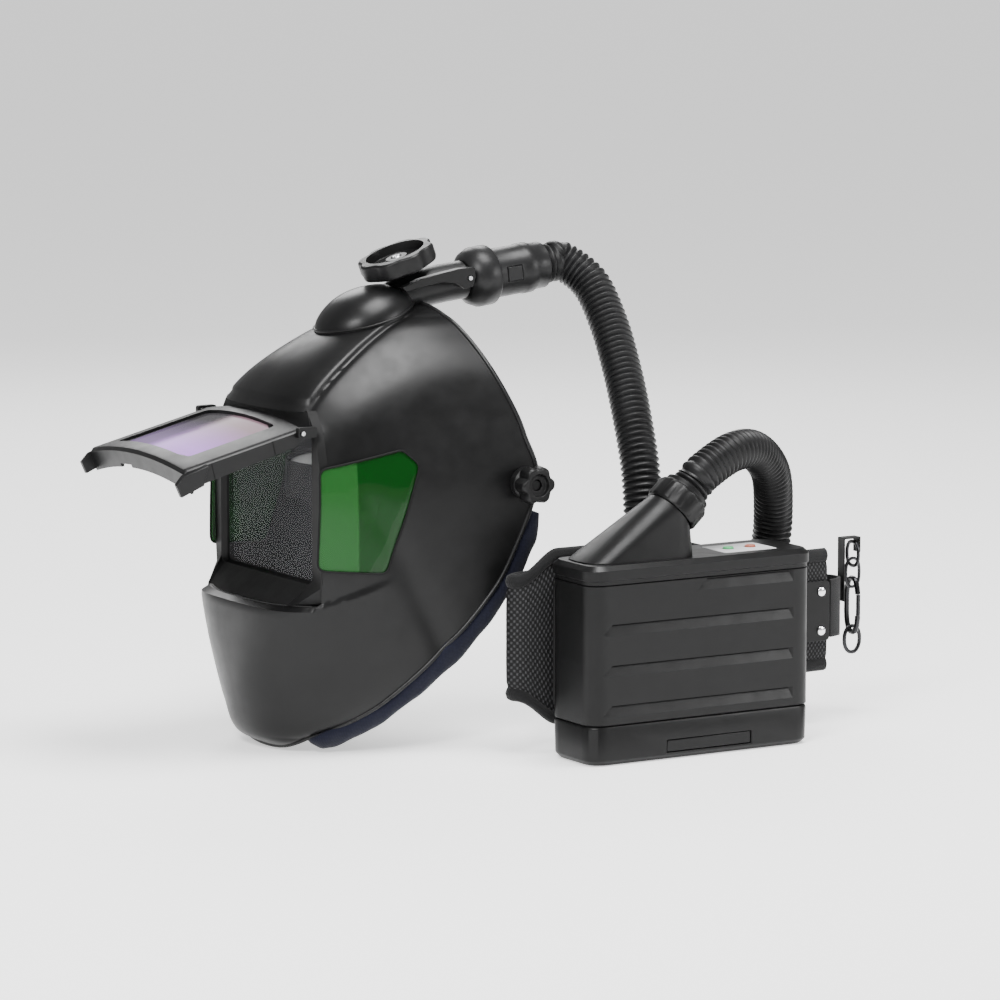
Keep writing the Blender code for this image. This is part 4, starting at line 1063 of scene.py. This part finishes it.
def binding(tag, sign, path, heights):
    """Ribbed tape sewn around one long edge of the pad."""
    rings = []
    last = len(path) - 1
    for i, p in enumerate(path):
        ahead = (path[min(i + 1, last)] - path[max(i - 1, 0)]).normalized()
        out = Vector((ahead.y, -ahead.x, 0))
        edge = p + Vector((0, 0, sign * (heights[i] / 2 - 0.0048)))
        ring = []
        for k in range(28):
            a = 2 * pi * k / 28
            rib = 1 + 0.030 * cos(8 * a)
            ring.append(edge + out * (cos(a) * 0.0047 * rib) + Vector((0, 0, sin(a) * 0.0060 * rib)))
        rings.append(ring)
    piece("binding_" + tag, loft(rings), "web", sharp=70)


def webbing(tag, route):
    """One flat length of webbing from the pad to the buckle."""
    flat = [(0.0012, -1), (0.0012, -0.97), (0.0012, 0.97), (0.0012, 1), (-0.0012, 1), (-0.0012, -1)]
    mesh = band(route, flat, [WEBBING] * len(route))
    web = piece("webbing_" + tag, mesh, "web", sharp=60)
    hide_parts("belt_webbing_" + tag)


def belt_parts():
    """Mesh pad with its bindings, and the two lengths of webbing. Returns the pad."""
    line = curve_through([(x, y, BELT_Z) for x, y in BELT_ROUTE], BELT_STEPS, closed=True)
    drawn = line[PAD_START:] + line[:PAD_END]
    path = shift(drawn)
    heights = [pad_height(p) for p in drawn]
    pad = piece("pad", band(path, pad_section(), heights), "mesh", sharp=70)
    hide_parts("belt_pad")
    binding("top", 1, path, heights)
    binding("bottom", -1, path, heights)
    webbing("left", shift(line[PAD_END:BUCKLE - 8]))
    webbing("right", shift(line[BUCKLE + 12:PAD_START - 2]))
    return pad


# ---------------------------------------------------------------- blower housing
def blower_housing():
    """Housing with four long steps in its front; each slopes out to a sharp lower edge from a point."""
    outline = rounded(rectangle(0, BLOWER_W, 0, BLOWER_D), CORNER, 12)
    rings = []
    for z, inset in ((BATTERY_TOP + GAP, 0.0008), (BATTERY_TOP + GAP + 0.0008, 0.0), (LID_SEAM - 0.0008, 0.0),
                     (LID_SEAM, 0.0008)):
        rings.append([at(inset + x * (1 - 2 * inset / BLOWER_W), inset + y * (1 - 2 * inset / BLOWER_D), z)
                      for x, y in outline])
    housing = piece("housing", loft(rings), "housing")
    cutters = []
    for x, z in RIBS:
        end = BLOWER_W - 0.019
        start = x + RIB_POINT
        top = z + RIB_HIGH
        cutters.append(loft([
            [at(x, -0.0002, z + 0.0002), at(x, -0.0010, z + 0.0004), at(x, -0.0010, z)],
            [at(start, RIB_DEEP, top), at(start, -0.0010, top + 0.0004), at(start, -0.0010, z - 0.0002)],
            [at(end - 0.004, RIB_DEEP, top), at(end, -0.0010, top + 0.0004), at(end, -0.0010, z - 0.0002)]]))
    carve(housing, cutters, "EXACT", 11)
    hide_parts("blower_housing")


# ---------------------------------------------------------------- studio
def studio():
    """Pale floor that glows a little, four soft lamps, and a white world that the camera sees brighter."""
    world = bpy.data.worlds.new("studio")
    world.use_nodes = True
    tree = world.node_tree
    backdrop = tree.nodes["Background"]
    backdrop.inputs["Color"].default_value = (1.0, 1.0, 1.0, 1.0)
    backdrop.inputs["Strength"].default_value = 1.6
    fill = tree.nodes.new("ShaderNodeBackground")
    fill.inputs["Color"].default_value = (1.0, 1.0, 1.0, 1.0)
    fill.inputs["Strength"].default_value = 0.40
    rays = tree.nodes.new("ShaderNodeLightPath")
    mix = tree.nodes.new("ShaderNodeMixShader")
    tree.links.new(rays.outputs["Is Camera Ray"], mix.inputs[0])
    tree.links.new(fill.outputs[0], mix.inputs[1])
    tree.links.new(backdrop.outputs[0], mix.inputs[2])
    tree.links.new(mix.outputs[0], tree.nodes["World Output"].inputs["Surface"])
    bpy.context.scene.world = world
    bm = bmesh.new()
    bmesh.ops.create_grid(bm, x_segments=1, y_segments=1, size=40.0)
    mesh = bpy.data.meshes.new("floor")
    bm.to_mesh(mesh)
    bm.free()
    floor = bpy.data.objects.new("floor", mesh)
    floor.location = (0, 0, -0.0005)
    bpy.context.scene.collection.objects.link(floor)
    look = Nodes("floor_white", (0.92, 0.92, 0.92), 0.7)
    look.set("Emission Color", (1.0, 1.0, 1.0, 1.0))
    look.set("Emission Strength", 0.75)
    mesh.materials.append(look.mat)
    lamps = (("key", (-1.7, -1.3, 1.9), 0.9, 75.0), ("side", (1.6, -1.6, 0.9), 0.7, 24.0),
             ("top", (0.2, -0.5, 2.3), 1.1, 85.0), ("rear", (0.8, 2.0, 1.6), 1.2, 30.0))
    for name, place, size, power in lamps:
        data = bpy.data.lights.new(name, "AREA")
        data.shape = "SQUARE"
        data.size = size
        data.energy = power
        lamp = bpy.data.objects.new(name, data)
        lamp.location = place
        lamp.rotation_mode = "QUATERNION"
        lamp.rotation_quaternion = (Vector((0, 0, 0.2)) - Vector(place)).to_track_quat("-Z", "Y")
        bpy.context.scene.collection.objects.link(lamp)


camera()
make_materials()
dress_cad()
air_hose()
raised = helmet_shell()
rim_bead(raised)
front_panel()
side_windows()
face_seal()
lid_frame()
lid_lens()
visor()
crown_cowl()
blower_housing()
sweatband()
belt_parts()
studio()
